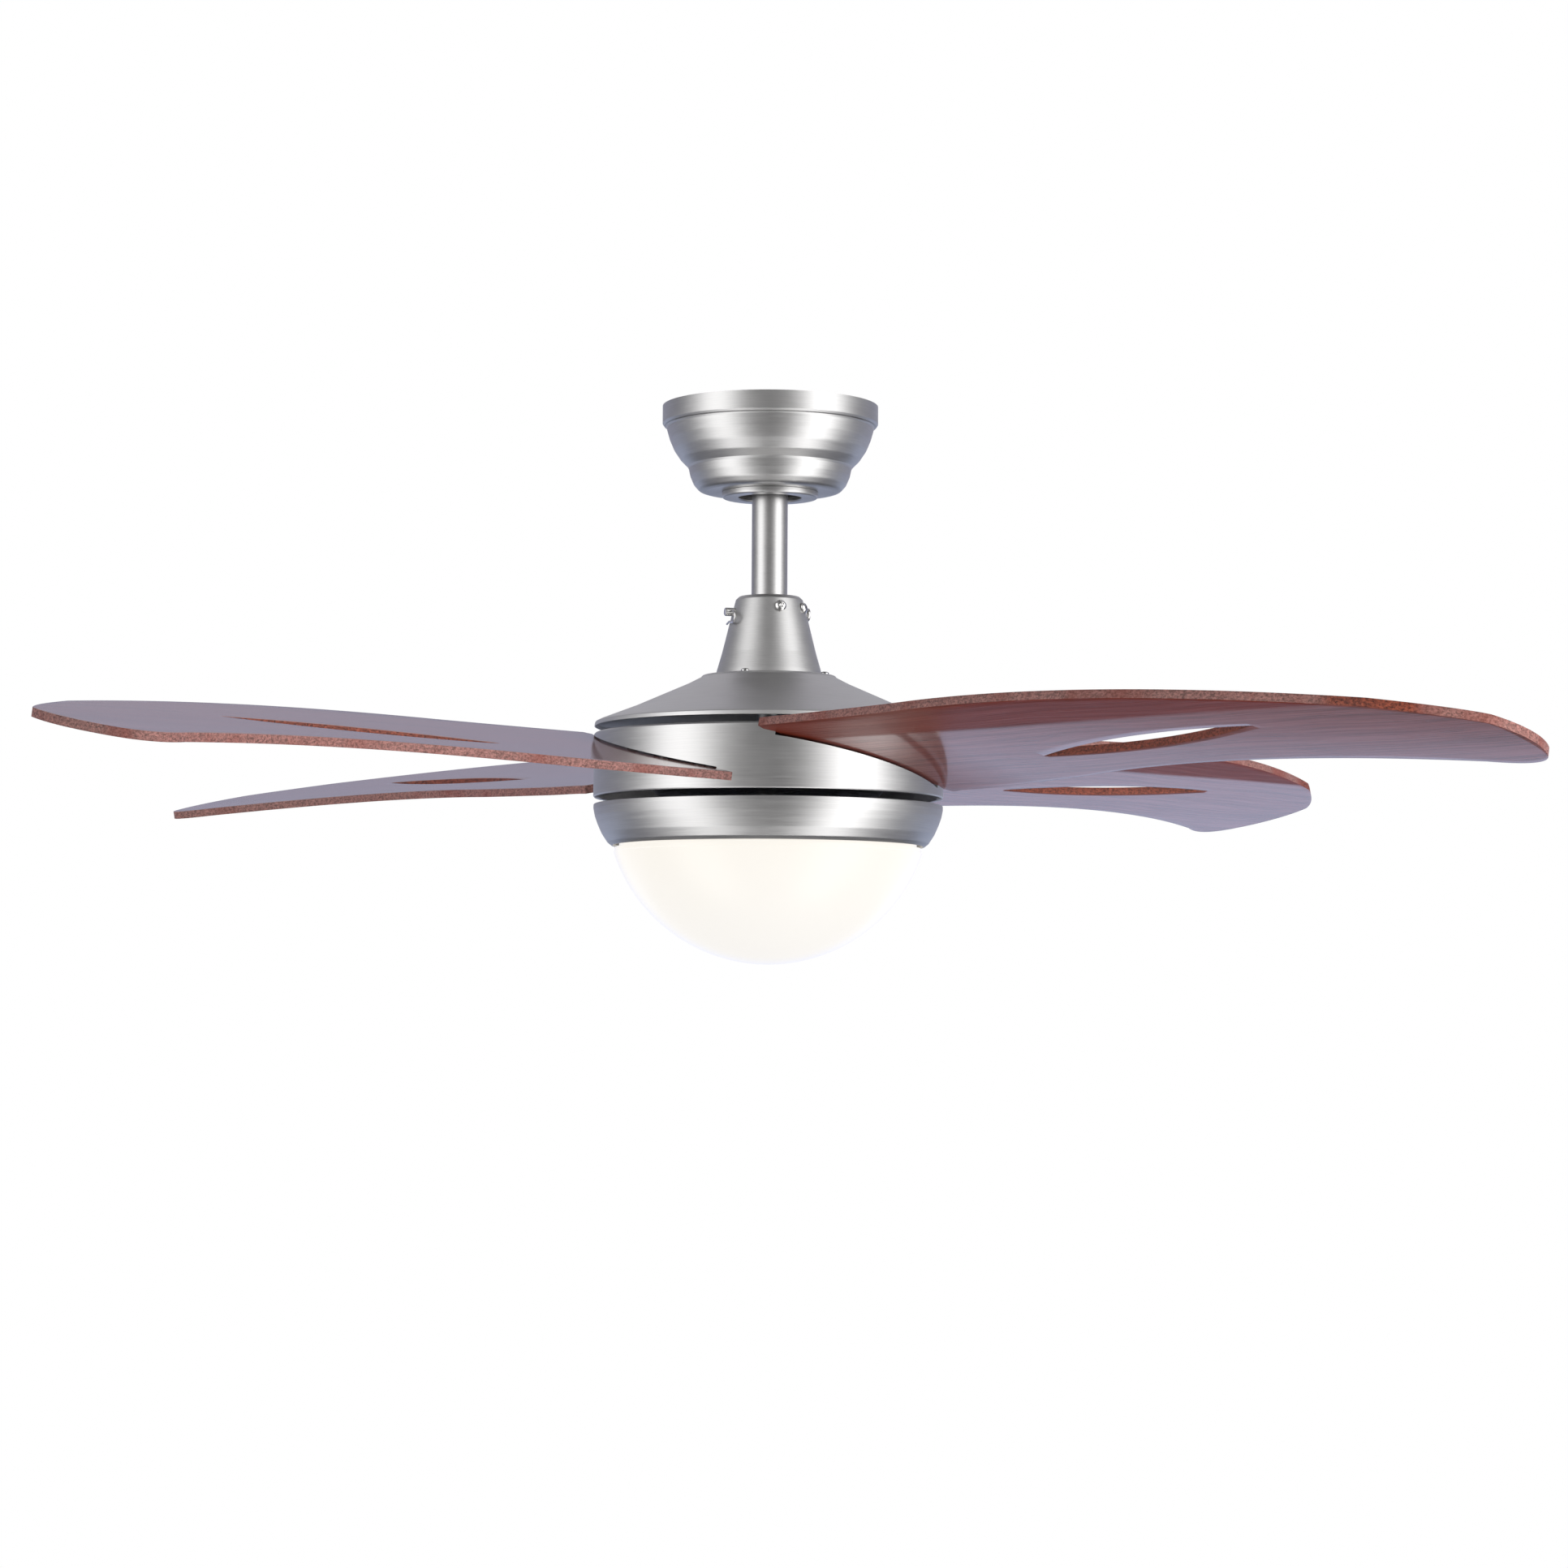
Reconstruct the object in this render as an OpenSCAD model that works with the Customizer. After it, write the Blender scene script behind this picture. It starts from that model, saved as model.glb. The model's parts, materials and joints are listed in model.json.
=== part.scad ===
// Ceiling fan with a light kit: four wide plywood blades, an outer-rotor motor, a downrod and a bowl light.
// The ceiling is z = 0 and the fan hangs below it on the Z axis. All sizes are in millimetres.

/* [Overall] */
// Blade sweep, tip circle diameter
sweep_d = 1280; // [1100:10:1500]
// Outside diameter of the band, the housing and the light pan
housing_d = 255; // [220:1:300]
// Distance from the ceiling to the centre of the hanger ball
ball_drop = 36; // [32:1:40]
// Distance from the ceiling to the top of the motor housing
rod_drop = 198.6; // [190:1:400]

/* [Canopy and hanger] */
// Canopy diameter at the ceiling
canopy_d = 158; // [150:1:170]
// Canopy height
canopy_h = 63.4; // [60:0.2:70]
// Sheet thickness of the canopy
canopy_t = 1.2; // [0.8:0.1:2]
// Outside diameter of the trim ring under the canopy
ring_d = 70.4; // [68:0.2:80]
// Hole in the trim ring that the rod hangs through
ring_hole_d = 46.4; // [46:0.2:50]
// Radius of the hanger ball
ball_r = 27; // [26:0.1:28]
// Thickness of the spherical liner between the ball and its seat
liner_t = 1.9; // [1.5:0.1:2.5]
// Running clearance on each side of the spherical liner
seat_gap = 0.05; // [0.03:0.01:0.1]
// Spacing of the two ceiling screws
ceiling_screw_pitch = 88.9; // [80:0.1:100]
// Width of the ceiling screw slots
ceiling_slot_w = 5.2; // [4.5:0.1:6]
// Length of the ceiling screw slots
ceiling_slot_l = 14; // [10:1:15]

/* [Rod and coupling] */
// Downrod outside diameter
rod_d = 26.2; // [25:0.1:27]
// Downrod wall thickness
rod_wall = 2.2; // [1.6:0.1:3]
// Coupling diameter at its top
yoke_top_d = 49; // [46:0.2:54]
// Coupling diameter at its base
yoke_base_d = 78; // [70:0.2:86]
// Height of the conical coupling
yoke_h = 58.2; // [50:0.5:70]
// Diameter of the clevis pin
clevis_d = 6.4; // [5:0.1:8]

/* [Motor housing] */
// Diameter of the flat plate on top of the housing
top_plate_d = 100; // [96:1:110]
// Height of the conical housing top
dome_h = 38; // [34:1:46]
// Height of the turning band
band_h = 46.8; // [44:0.2:54]
// Gap above and below the turning band
band_gap = 4.8; // [3:0.1:8]
// Sheet thickness of the housing, band and pan
shell_t = 1.5; // [1:0.1:2.5]
// Radius of the motor casing
motor_r = 86; // [80:1:88]
// Height of the motor casing
motor_h = 42; // [40:1:44]
// Diameter of the hollow motor shaft
shaft_d = 18; // [16:0.5:20]
// Radius of the stator core
stator_r = 66; // [60:1:68]
// Air gap between stator and rotor
air_gap = 0.6; // [0.4:0.1:1]
// Running clearance of the casing on its bearings
bearing_gap = 0.05; // [0.03:0.01:0.1]

/* [Blades] */
// Blade thickness
blade_t = 6; // [4:0.5:8]
// Blade pitch in degrees
blade_pitch = 12; // [8:0.1:15]
// How far the blades stand turned from the 45 degree lines at rest
rest_turn = -0.3; // [-20:0.1:20]
// Radius of the blade's slight curve from edge to edge, hollow side up
camber_r = 6000; // [3000:500:12000]
// Deepest reach of the leading edge from the blade's radial line
lead_v = 115.5; // [104:0.5:125]
// Distance of that deepest reach from the tip
lead_from_tip = 340; // [300:5:380]
// Radius of the leading edge curve
lead_arc_r = 610; // [560:10:900]
// Distance of the trailing edge's waist from the radial line
waist_v = 42.5; // [38:0.5:52]
// Distance of that waist from the tip
waist_from_tip = 255; // [220:5:290]
// Radius of the trailing edge curve
waist_arc_r = 520; // [480:10:800]
// Radius of the rounded blade end
tip_arc_r = 100; // [90:5:160]
// Width of the slit along the blade
slit_w = 26; // [16:1:32]
// Length of the slit
slit_l = 210; // [150:5:240]
// Distance of the slit's middle from the tip
slit_from_tip = 274; // [250:2:300]

/* [Light kit] */
// Height of the light pan
pan_h = 30.2; // [26:0.2:36]
// Radius of the glass bowl's sphere
bowl_r = 118.4; // [115:0.1:125]
// Outside radius of the glass at its rim
bowl_rim_r = 112.4; // [105:0.1:114]
// Glass thickness
glass_t = 3; // [2:0.5:4]

/* [Hidden] */
$fn = 96;
housing_r = housing_d / 2;
canopy_r = canopy_d / 2;
rod_r = rod_d / 2;
shaft_r = shaft_d / 2;
z_ball = -ball_drop;
z_plate = -rod_drop;
z_dome_low = z_plate - dome_h;
z_band_top = z_dome_low - band_gap;
z_band_low = z_band_top - band_h;
z_mid = (z_band_top + z_band_low) / 2;
z_pan_top = z_band_low - band_gap;
z_pan_low = z_pan_top - pan_h;
z_yoke_top = z_plate + yoke_h;
z_bowl = z_pan_low - 4.5 + sqrt(bowl_r * bowl_r - bowl_rim_r * bowl_rim_r);
seat_r = ball_r + liner_t + 2 * seat_gap;
neck_r = bowl_rim_r - 4;
z_lug = z_pan_low + 7.5;
bearing_r = 16;
motor_top = z_mid + motor_h / 2;
motor_low = z_mid - motor_h / 2;
tongue_r = motor_r + 7.5;
blade_az = [for (q = [45, 135, 225, 315]) q + rest_turn];

// ---------- helpers ----------

module tube(r_out, r_in, z0, z1) {
  difference() {
    translate([0, 0, z0]) cylinder(r = r_out, h = z1 - z0);
    translate([0, 0, z0 - 1]) cylinder(r = r_in, h = z1 - z0 + 2);
  }
}

module around(angles) {
  for (a = angles) rotate([0, 0, a]) children();
}

// Moves a blade drawn flat, root to tip along X, into its pitched place at one azimuth.
module at_blade(a) {
  translate([0, 0, z_mid]) rotate([0, 0, a]) rotate([-blade_pitch, 0, 0]) children();
}

// The curved layer of a blade between two heights, measured from the middle of its thickness.
module camber_layer(low, high) {
  translate([-20, 0, camber_r]) rotate([0, 90, 0]) difference() {
    cylinder(r = camber_r - low, h = 700, $fn = 720);
    translate([0, 0, -1]) cylinder(r = camber_r - high, h = 702, $fn = 720);
  }
}

// Stands on the curved blade at one point of its outline plane, with Z square to the surface.
module on_blade(p) {
  translate([p[0], p[1], camber_r - sqrt(camber_r * camber_r - p[1] * p[1])])
    rotate([asin(p[1] / camber_r), 0, 0]) children();
}

// A pan-head screw standing along +Z, with its head's underside at the origin and a cross recess.
module pan_screw(head_r, head_h, shank_r, shank_l) {
  difference() {
    union() {
      cylinder(r = head_r, h = head_h * 0.45);
      translate([0, 0, head_h * 0.45]) cylinder(r1 = head_r, r2 = head_r * 0.62, h = head_h * 0.55);
    }
    for (q = [0, 90]) rotate([0, 0, q])
      translate([-head_r * 0.5, -head_r * 0.11, head_h * 0.45]) cube([head_r, head_r * 0.22, head_h]);
  }
  translate([0, 0, -shank_l]) cylinder(r = shank_r, h = shank_l);
}

// ---------- ceiling side ----------

module hanger_bracket() {
  color([0.62, 0.63, 0.65]) {
    difference() {
      translate([-62, -19, -2]) cube([124, 38, 2]);
      for (s = [-1, 1]) translate([s * ceiling_screw_pitch / 2, 0, 0]) ceiling_slot();
      for (s = [-1, 1]) translate([s * 22, 0, -3]) cylinder(r = 8, h = 4);
    }
    for (s = [-1, 1]) translate([s * 53 - 1, -12, z_ball - 8]) cube([2, 24, -2 - (z_ball - 8)]);
    difference() {
      union() {
        translate([0, 0, z_ball - 20]) cylinder(r = 37, h = 12);
        translate([-54, -12, z_ball - 10]) cube([108, 24, 2]);
      }
      translate([0, 0, z_ball]) sphere(r = seat_r);
      translate([0, 0, z_ball - 21]) cylinder(r = 24, h = 8);
      for (s = [-1, 1]) translate([s * 30.5, 0, z_ball - 21]) cylinder(r = 1.9, h = 8);
    }
  }
}

module ceiling_slot() {
  half = (ceiling_slot_l - ceiling_slot_w) / 2;
  for (s = [-1, 1]) translate([s * half, 0, -3]) cylinder(r = ceiling_slot_w / 2, h = 4);
  translate([-half, -ceiling_slot_w / 2, -3]) cube([2 * half, ceiling_slot_w, 4]);
}

module receiver_box() {
  color([0.93, 0.93, 0.9]) difference() {
    translate([-37, -15, -20]) cube([74, 30, 18]);
    for (s = [-1, 1]) translate([s * 37.5 - 2, -6, -15]) cube([4, 12, 8]);
  }
}

module wire_connectors() {
  color([0.85, 0.45, 0.1]) for (x = [-22, 0, 22]) translate([x, 15, -12])
    rotate([-90, 0, 0]) cylinder(r1 = 5, r2 = 3.2, h = 18);
}

// The canopy's outside line, from the ceiling to its flat underside: [radius, height].
function canopy_line(off) = [
  [canopy_r - off, 0], [canopy_r - off, -13.6 + off * 0.3], [canopy_r - 1 - off, -14.6 + off * 0.3],
  [canopy_r - 2.6 - off, -15.4 + off * 0.6], [canopy_r - 3.4 - off, -0.2918 * canopy_h + off * 0.6],
  [canopy_r - 5.6 - off, -0.3943 * canopy_h + off * 0.6], [canopy_r - 8.4 - off, -0.5047 * canopy_h + off * 0.6],
  [canopy_r - 12.6 - off, -0.6088 * canopy_h + off * 0.8], [canopy_r - 17.4 - off * 0.9, -0.6909 * canopy_h + off],
  [canopy_r - 19 - off, -0.7224 * canopy_h + off], [canopy_r - 20.4 - off, -0.795 * canopy_h + off * 0.8],
  [canopy_r - 22.8 - off, -0.8991 * canopy_h + off * 0.8], [canopy_r - 25.4 - off * 0.8, -0.959 * canopy_h + off],
  [canopy_r - 28.6 - off * 0.5, off - canopy_h]];

module canopy() {
  outer = canopy_line(0);
  inner = canopy_line(canopy_t);
  n = len(inner);
  color([0.72, 0.71, 0.69]) difference() {
    rotate_extrude() polygon(concat(outer, [[24, -canopy_h], [24, -canopy_h + canopy_t]],
      [for (i = [n - 1:-1:0]) inner[i]]));
    for (s = [-1, 1]) translate([s * 30.5, 0, -canopy_h - 1]) cylinder(r = 2.2, h = 3);
  }
}

module canopy_screws() {
  color([0.78, 0.78, 0.8]) for (s = [-1, 1]) translate([s * 30.5, 0, -canopy_h]) rotate([180, 0, 0])
    pan_screw(3.2, 2, 1.9, canopy_h - ball_drop - 14);
}

module canopy_ring() {
  color([0.72, 0.71, 0.69]) rotate_extrude() polygon([
    [ring_hole_d / 2, -canopy_h - 0.2], [ring_hole_d / 2, -canopy_h - 3.4],
    [ring_hole_d / 2 + 1.1, -canopy_h - 4.5], [ring_d / 2 - 1.4, -canopy_h - 4.5],
    [ring_d / 2 - 0.4, -canopy_h - 3.9], [ring_d / 2, -canopy_h - 2.8], [ring_d / 2, -canopy_h],
    [ring_d / 2 - 1, -canopy_h], [ring_d / 2 - 1, -canopy_h - 2.6], [26, -canopy_h - 2.6],
    [26, -canopy_h], [23.9, -canopy_h], [23.9, -canopy_h - 0.2]]);
}

module seat_liner() {
  color([0.2, 0.2, 0.21]) intersection() {
    difference() {
      translate([0, 0, z_ball]) sphere(r = ball_r + seat_gap + liner_t);
      translate([0, 0, z_ball]) sphere(r = ball_r + seat_gap);
    }
    tube(40, 22.5, z_ball - 16, z_ball - 5);
  }
}

// ---------- hanging side ----------

module hanger_ball() {
  color([0.25, 0.25, 0.27]) difference() {
    intersection() {
      translate([0, 0, z_ball]) sphere(r = ball_r);
      translate([-40, -40, z_ball - 19]) cube([80, 80, 24]);
    }
    translate([0, 0, z_ball - 30]) cylinder(r = rod_r, h = 60);
    translate([-30, 0, z_ball - 2]) rotate([0, 90, 0]) cylinder(r = 3, h = 60);
    translate([0, -40, z_ball - 4]) rotate([-90, 0, 0]) cylinder(r = 2, h = 40);
  }
}

module ball_pin() {
  color([0.75, 0.75, 0.77]) translate([-23, 0, z_ball - 2]) rotate([0, 90, 0]) cylinder(r = 3, h = 46);
}

module ball_setscrew() {
  color([0.7, 0.7, 0.72]) difference() {
    translate([0, -24, z_ball - 4]) rotate([-90, 0, 0]) cylinder(r = 2, h = 24 - rod_r);
    translate([0, -25, z_ball - 4]) rotate([-90, 0, 0]) cylinder(r = 1.1, h = 4, $fn = 6);
  }
}

module downrod() {
  color([0.72, 0.71, 0.69]) difference() {
    tube(rod_r, rod_r - rod_wall, z_plate + 19, z_ball + 3);
    translate([-30, 0, z_ball - 2]) rotate([0, 90, 0]) cylinder(r = 3, h = 60);
    translate([0, 0, z_yoke_top - 12]) rotate([0, 90, 197]) translate([0, 0, -30])
      cylinder(r = clevis_d / 2, h = 60);
  }
}

module coupling() {
  color([0.72, 0.71, 0.69]) difference() {
    rotate_extrude() polygon([
      [rod_r, z_yoke_top], [yoke_top_d / 2 - 2.6, z_yoke_top], [yoke_top_d / 2 - 1, z_yoke_top - 0.7],
      [yoke_top_d / 2, z_yoke_top - 2.4], [yoke_top_d / 2 + 3.8, z_yoke_top - 17],
      [yoke_top_d / 2 + 7, z_yoke_top - 30], [yoke_top_d / 2 + 10, z_yoke_top - 42],
      [yoke_base_d / 2 - 1, z_yoke_top - 54], [yoke_base_d / 2, z_plate],
      [yoke_base_d / 2 - 5, z_plate], [yoke_base_d / 2 - 8, z_plate + 16], [rod_r, z_plate + 18]]);
    translate([0, 0, z_yoke_top - 12]) rotate([0, 90, 197]) translate([0, 0, -40])
      cylinder(r = clevis_d / 2, h = 80);
    for (a = [288, 339]) yoke_screw_at(a) translate([0, 0, -yoke_screw_l]) cylinder(r = 2.4, h = 20);
    around([22, 112, 202, 292]) translate([36.3, 0, z_plate - 1]) cylinder(r = 1.5, h = 6);
  }
}

// The outside of the coupling at one azimuth, with Z pointing straight out of the cone.
// The coupling's screws stop a clearance short of the downrod.
yoke_screw_gap = 2.45;
yoke_screw_l = (yoke_top_d / 2 + 1.7 - rod_r - yoke_screw_gap) / sin(75.5);

module yoke_screw_at(a) {
  rotate([0, 0, a]) translate([yoke_top_d / 2 + 1.7, 0, z_yoke_top - 9]) rotate([0, 75.5, 0]) children();
}

module clevis_pin() {
  color([0.8, 0.8, 0.81]) translate([0, 0, z_yoke_top - 12]) rotate([0, 90, 197]) difference() {
    union() {
      translate([0, 0, -32]) cylinder(r = clevis_d / 2, h = 66);
      translate([0, 0, -34]) cylinder(r = clevis_d / 2 + 2, h = 3);
    }
    translate([0, -10, 30.5]) rotate([-90, 0, 0]) cylinder(r = 0.9, h = 20);
  }
}

// A spring-wire clip: a straight leg through the pin's end, a round eye, and an outer leg.
module hairpin_clip() {
  color([0.82, 0.82, 0.83]) translate([0, 0, z_yoke_top - 12]) rotate([0, 90, 197])
    translate([0, 0, 30.5]) rotate([-90, 0, 0]) {
      translate([0, 0, -12]) cylinder(r = 0.8, h = 22);
      translate([4.2, 0, 10]) rotate([90, 0, 0]) rotate_extrude(angle = 180) translate([4.2, 0])
        circle(r = 0.8, $fn = 24);
      translate([8.4, 0, -6]) cylinder(r = 0.8, h = 16);
    }
}

module coupling_screws() {
  color([0.82, 0.82, 0.83]) for (a = [288, 339]) yoke_screw_at(a) pan_screw(4.2, 3, 2.4, yoke_screw_l);
}

module motor_adapter() {
  color([0.5, 0.5, 0.52]) difference() {
    union() {
      translate([0, 0, z_plate - shell_t - 6]) cylinder(r = 47, h = 6);
      translate([0, 0, z_plate - 24]) cylinder(r = 17, h = 18);
      translate([10, -8, z_plate - 22]) cube([66, 16, 2]);
    }
    translate([0, 0, z_plate - 30]) cylinder(r = shaft_r, h = 40);
    around([22, 112, 202, 292]) translate([36.3, 0, z_plate - 10]) cylinder(r = 1.5, h = 12);
    around([67, 157, 247, 337]) translate([44, 0, z_plate - 10]) cylinder(r = 1.8, h = 12);
  }
}

module top_housing() {
  r = top_plate_d / 2;
  color([0.72, 0.71, 0.69]) difference() {
    rotate_extrude() polygon([
      [20, z_plate], [r - 1.5, z_plate], [r, z_plate - 1.6], [r + 9.5, z_plate - 6.4],
      [housing_r - 29.5, z_dome_low + 14.6], [housing_r - 4.5, z_dome_low + 5], [housing_r - 0.7, z_dome_low + 3.4],
      [housing_r - 0.4, z_dome_low], [housing_r - 0.4 - shell_t, z_dome_low],
      [housing_r - 0.7 - shell_t, z_dome_low + 2.8], [housing_r - 30, z_dome_low + 13],
      [r + 9, z_plate - 8], [r - 1, z_plate - shell_t], [20, z_plate - shell_t]]);
    around([67, 157, 247, 337]) translate([44, 0, z_plate - 10]) cylinder(r = 1.8, h = 12);
    around([22, 112, 202, 292]) translate([36.3, 0, z_plate - 10]) cylinder(r = 1.5, h = 12);
  }
}

// Four bolts up through the adapter and the housing top into the foot of the coupling.
module adapter_bolts() {
  color([0.7, 0.7, 0.72]) around([22, 112, 202, 292])
    translate([36.3, 0, z_plate - shell_t - 6]) rotate([180, 0, 0]) pan_screw(3, 2, 1.5, 12);
}

module flange_screws() {
  color([0.78, 0.78, 0.8]) around([67, 157, 247, 337]) translate([44, 0, z_plate])
    pan_screw(3.2, 2.2, 1.8, 6);
}

module capacitor() {
  color([0.15, 0.15, 0.16]) difference() {
    translate([58, -19, z_plate - 38]) cube([20, 38, 16]);
    for (s = [-1, 1]) translate([62, s * 13 - 1, z_plate - 24]) cube([12, 2, 3]);
  }
}

module motor_shaft() {
  color([0.6, 0.6, 0.62]) tube(shaft_r, shaft_r - 2.5, z_pan_top - 16, z_plate - 1.5);
}

module bearings() {
  color([0.66, 0.67, 0.7]) {
    tube(bearing_r, shaft_r, motor_top - 9, motor_top);
    tube(bearing_r, shaft_r, motor_low, motor_low + 9);
  }
}

module stator_core() {
  color([0.45, 0.46, 0.48]) difference() {
    tube(stator_r, shaft_r, z_mid - 9, z_mid + 9);
    around([for (i = [0:15]) i * 22.5]) {
      translate([stator_r - 26, -4.2, z_mid - 10]) cube([22, 8.4, 20]);
      translate([stator_r - 6, -1.2, z_mid - 10]) cube([10, 2.4, 20]);
    }
  }
}

module stator_windings() {
  color([0.72, 0.38, 0.16]) around([for (i = [0:15]) i * 22.5]) {
    translate([stator_r - 25.9, -4.1, z_mid - 13]) cube([21.8, 8.2, 26]);
  }
}

// ---------- turning side ----------

// The casing half above the motor's middle; the lower half is its mirror image.
module casing_half() {
  color([0.16, 0.16, 0.17]) rotate_extrude() polygon([
    [bearing_r + bearing_gap, motor_h / 2 - 9], [bearing_r + 4, motor_h / 2 - 9],
    [bearing_r + 4, motor_h / 2 - 3], [motor_r - 7, motor_h / 2 - 3], [motor_r - 3, motor_h / 2 - 6],
    [motor_r - 3, 0], [motor_r + 2, 0], [motor_r + 2, 3], [motor_r, 3], [motor_r, motor_h / 2 - 5],
    [motor_r - 5, motor_h / 2], [bearing_r + bearing_gap, motor_h / 2]]);
}

module rotor_upper() {
  difference() {
    translate([0, 0, z_mid]) casing_half();
    casing_holes();
    around([for (i = [0:7]) 11.25 + i * 45]) translate([motor_r - 12, 0, motor_top - 2.5])
      cylinder(r = 1.5, h = 4);
  }
}

module rotor_lower() {
  difference() {
    translate([0, 0, z_mid]) mirror([0, 0, 1]) casing_half();
    casing_holes();
  }
}

// Cooling slots through both end faces of the casing.
module casing_holes() {
  around([for (i = [0:7]) 22.5 + i * 45]) for (r = [34, 50, 66])
    translate([r, 0, z_mid - 30]) cylinder(r = 4.5, h = 60);
}

module rotor_cage() {
  color([0.6, 0.61, 0.63]) tube(motor_r - 3, stator_r + air_gap, z_mid - 10, z_mid + 10);
}

module rotor_screws() {
  color([0.7, 0.7, 0.72]) around([for (i = [0:7]) 11.25 + i * 45]) translate([motor_r - 12, 0, motor_top])
    pan_screw(3, 1.8, 1.5, 2);
}

// One quadrant's pitched slot through the band, a slab that ends on radial planes.
module band_slot(a) {
  intersection() {
    at_blade(a) camber_layer(-blade_t / 2 - 1.5, blade_t / 2 + 1.5);
    rotate([0, 0, a]) translate([0, 0, z_mid - 40]) linear_extrude(height = 80)
      polygon([[60, -60 * tan(43)], [housing_r + 25, -(housing_r + 25) * tan(43)],
        [housing_r + 25, (housing_r + 25) * tan(29)], [60, 60 * tan(29)]]);
  }
}

module blade_band() {
  color([0.72, 0.71, 0.69]) difference() {
    rotate_extrude() polygon([
      [housing_r - 1.4, z_band_top], [housing_r - 0.4, z_band_top - 0.5], [housing_r, z_band_top - 1.6],
      [housing_r, z_band_low + 1], [housing_r - 0.6, z_band_low], [housing_r - 5, z_band_low],
      [housing_r - 5, z_band_low + shell_t], [housing_r - shell_t, z_band_low + shell_t],
      [housing_r - shell_t, z_band_top - shell_t], [housing_r - 5, z_band_top - shell_t],
      [housing_r - 5, z_band_top]]);
    for (a = blade_az) band_slot(a);
    around([0, 90, 180, 270]) translate([housing_r - 10, 0, z_mid]) rotate([0, 90, 0])
      cylinder(r = 1.8, h = 20);
  }
}

module band_arms() {
  color([0.3, 0.3, 0.32]) around([0, 90, 180, 270]) difference() {
    union() {
      intersection() {
        translate([motor_r, -5, z_mid - 1.5]) cube([housing_r - motor_r + 20, 10, 3]);
        tube(housing_r - shell_t, motor_r + 2, z_mid - 5, z_mid + 5);
      }
      intersection() {
        translate([motor_r, -5, z_mid - 7]) cube([housing_r - motor_r + 20, 10, 14]);
        tube(housing_r - shell_t, housing_r - shell_t - 3, z_mid - 9, z_mid + 9);
      }
    }
    translate([housing_r - 10, 0, z_mid]) rotate([0, 90, 0]) cylinder(r = 1.8, h = 20);
  }
}

// Points along a curve b0 -> b2 that leaves towards b1.
function bend(b0, b1, b2, n) = [for (i = [0:n]) let (t = i / n)
  (1 - t) * (1 - t) * b0 + 2 * t * (1 - t) * b1 + t * t * b2];

tip_r = sweep_d / 2;
lead_u = tip_r - lead_from_tip;
waist_u = tip_r - waist_from_tip;
function lead_edge(u) = -lead_v + (u - lead_u) * (u - lead_u) / (2 * lead_arc_r);
function waist_edge(u) = waist_v + (u - waist_u) * (u - waist_u) / (2 * waist_arc_r);
tip_end = tip_r - 2;
tip_v = 24;
function tip_edge(v) = tip_end - tip_arc_r + sqrt(tip_arc_r * tip_arc_r - (v - tip_v) * (v - tip_v));
lead_end = tip_end - 63;
lead_root = 226;
trail_end = tip_end - 62;
flare_u = 258;
// A point of the blade's root, by its distance outside the housing and its angle.
function root_point(out, q) = (housing_r + out) * [cos(q), sin(q)];

// The flat blade seen from above: leading edge at -Y, the tip at +X, and a tongue into the motor housing.
blade_outline = concat(
  bend(root_point(10.6, -48.2), [lead_root - 60, lead_edge(lead_root) + 5.2],
       [lead_root, lead_edge(lead_root)], 8),
  [for (i = [1:34]) let (u = lead_root + (lead_end - lead_root) * i / 34) [u, lead_edge(u)]],
  bend([lead_end + 1, lead_edge(lead_end + 1)], [lead_end + 47, lead_edge(lead_end) + 31],
       [tip_edge(-4), -4], 10),
  [for (i = [1:12]) let (v = -4 + 74 * i / 12) [tip_edge(v), v]],
  bend([tip_edge(71), 71], [tip_end - 26, 98], [trail_end, waist_edge(trail_end)], 8),
  [for (i = [1:30]) let (u = trail_end + (flare_u - trail_end) * i / 30) [u, waist_edge(u)]],
  bend([flare_u - 1, waist_edge(flare_u - 1)], [flare_u - 26, waist_edge(flare_u) + 6],
       [housing_r + 22.5, housing_r - 51.5], 8),
  bend([housing_r + 21.5, housing_r - 51.5], [housing_r - 3.5, housing_r - 52.3],
       root_point(10.3, 35.2), 8),
  [root_point(3.7, 33.8), root_point(2.2, 31), root_point(1.9, 27.5)],
  [for (i = [0:18]) let (q = 26 - 66 * i / 18) [tongue_r * cos(q), tongue_r * sin(q)]],
  [root_point(0.6, -41.5)],
  bend(root_point(3.6, -47.4), root_point(6.4, -49.6), root_point(10.3, -48.3), 4));

// The slit is the overlap of two circles, so its sides are true arcs that meet in points.
module slit_cut() {
  half = slit_l / 2;
  s = slit_w / 2;
  arc = (half * half + s * s) / (2 * s);
  translate([tip_r - slit_from_tip, -12.7, -20]) rotate([0, 0, -10]) intersection() {
    translate([0, arc - s, 0]) cylinder(r = arc, h = 40, $fn = 200);
    translate([0, s - arc, 0]) cylinder(r = arc, h = 40, $fn = 200);
    translate([-half - 10, -s - 5, 0]) cube([2 * half + 20, 2 * s + 10, 40]);
  }
}

blade_bolts = [[tongue_r + 7.5, -38], [tongue_r + 10.5, 0], [tongue_r + 7.5, 34]];

module blade(a) {
  color([0.34, 0.13, 0.08]) at_blade(a) difference() {
    intersection() {
      translate([0, 0, -20]) linear_extrude(height = 50) polygon(blade_outline);
      camber_layer(-blade_t / 2, blade_t / 2);
    }
    slit_cut();
    for (p = blade_bolts) on_blade(p) translate([0, 0, -20]) cylinder(r = 2.5, h = 40);
  }
}

module blade_1() { blade(blade_az[0]); }
module blade_2() { blade(blade_az[1]); }
module blade_3() { blade(blade_az[2]); }
module blade_4() { blade(blade_az[3]); }

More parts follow.
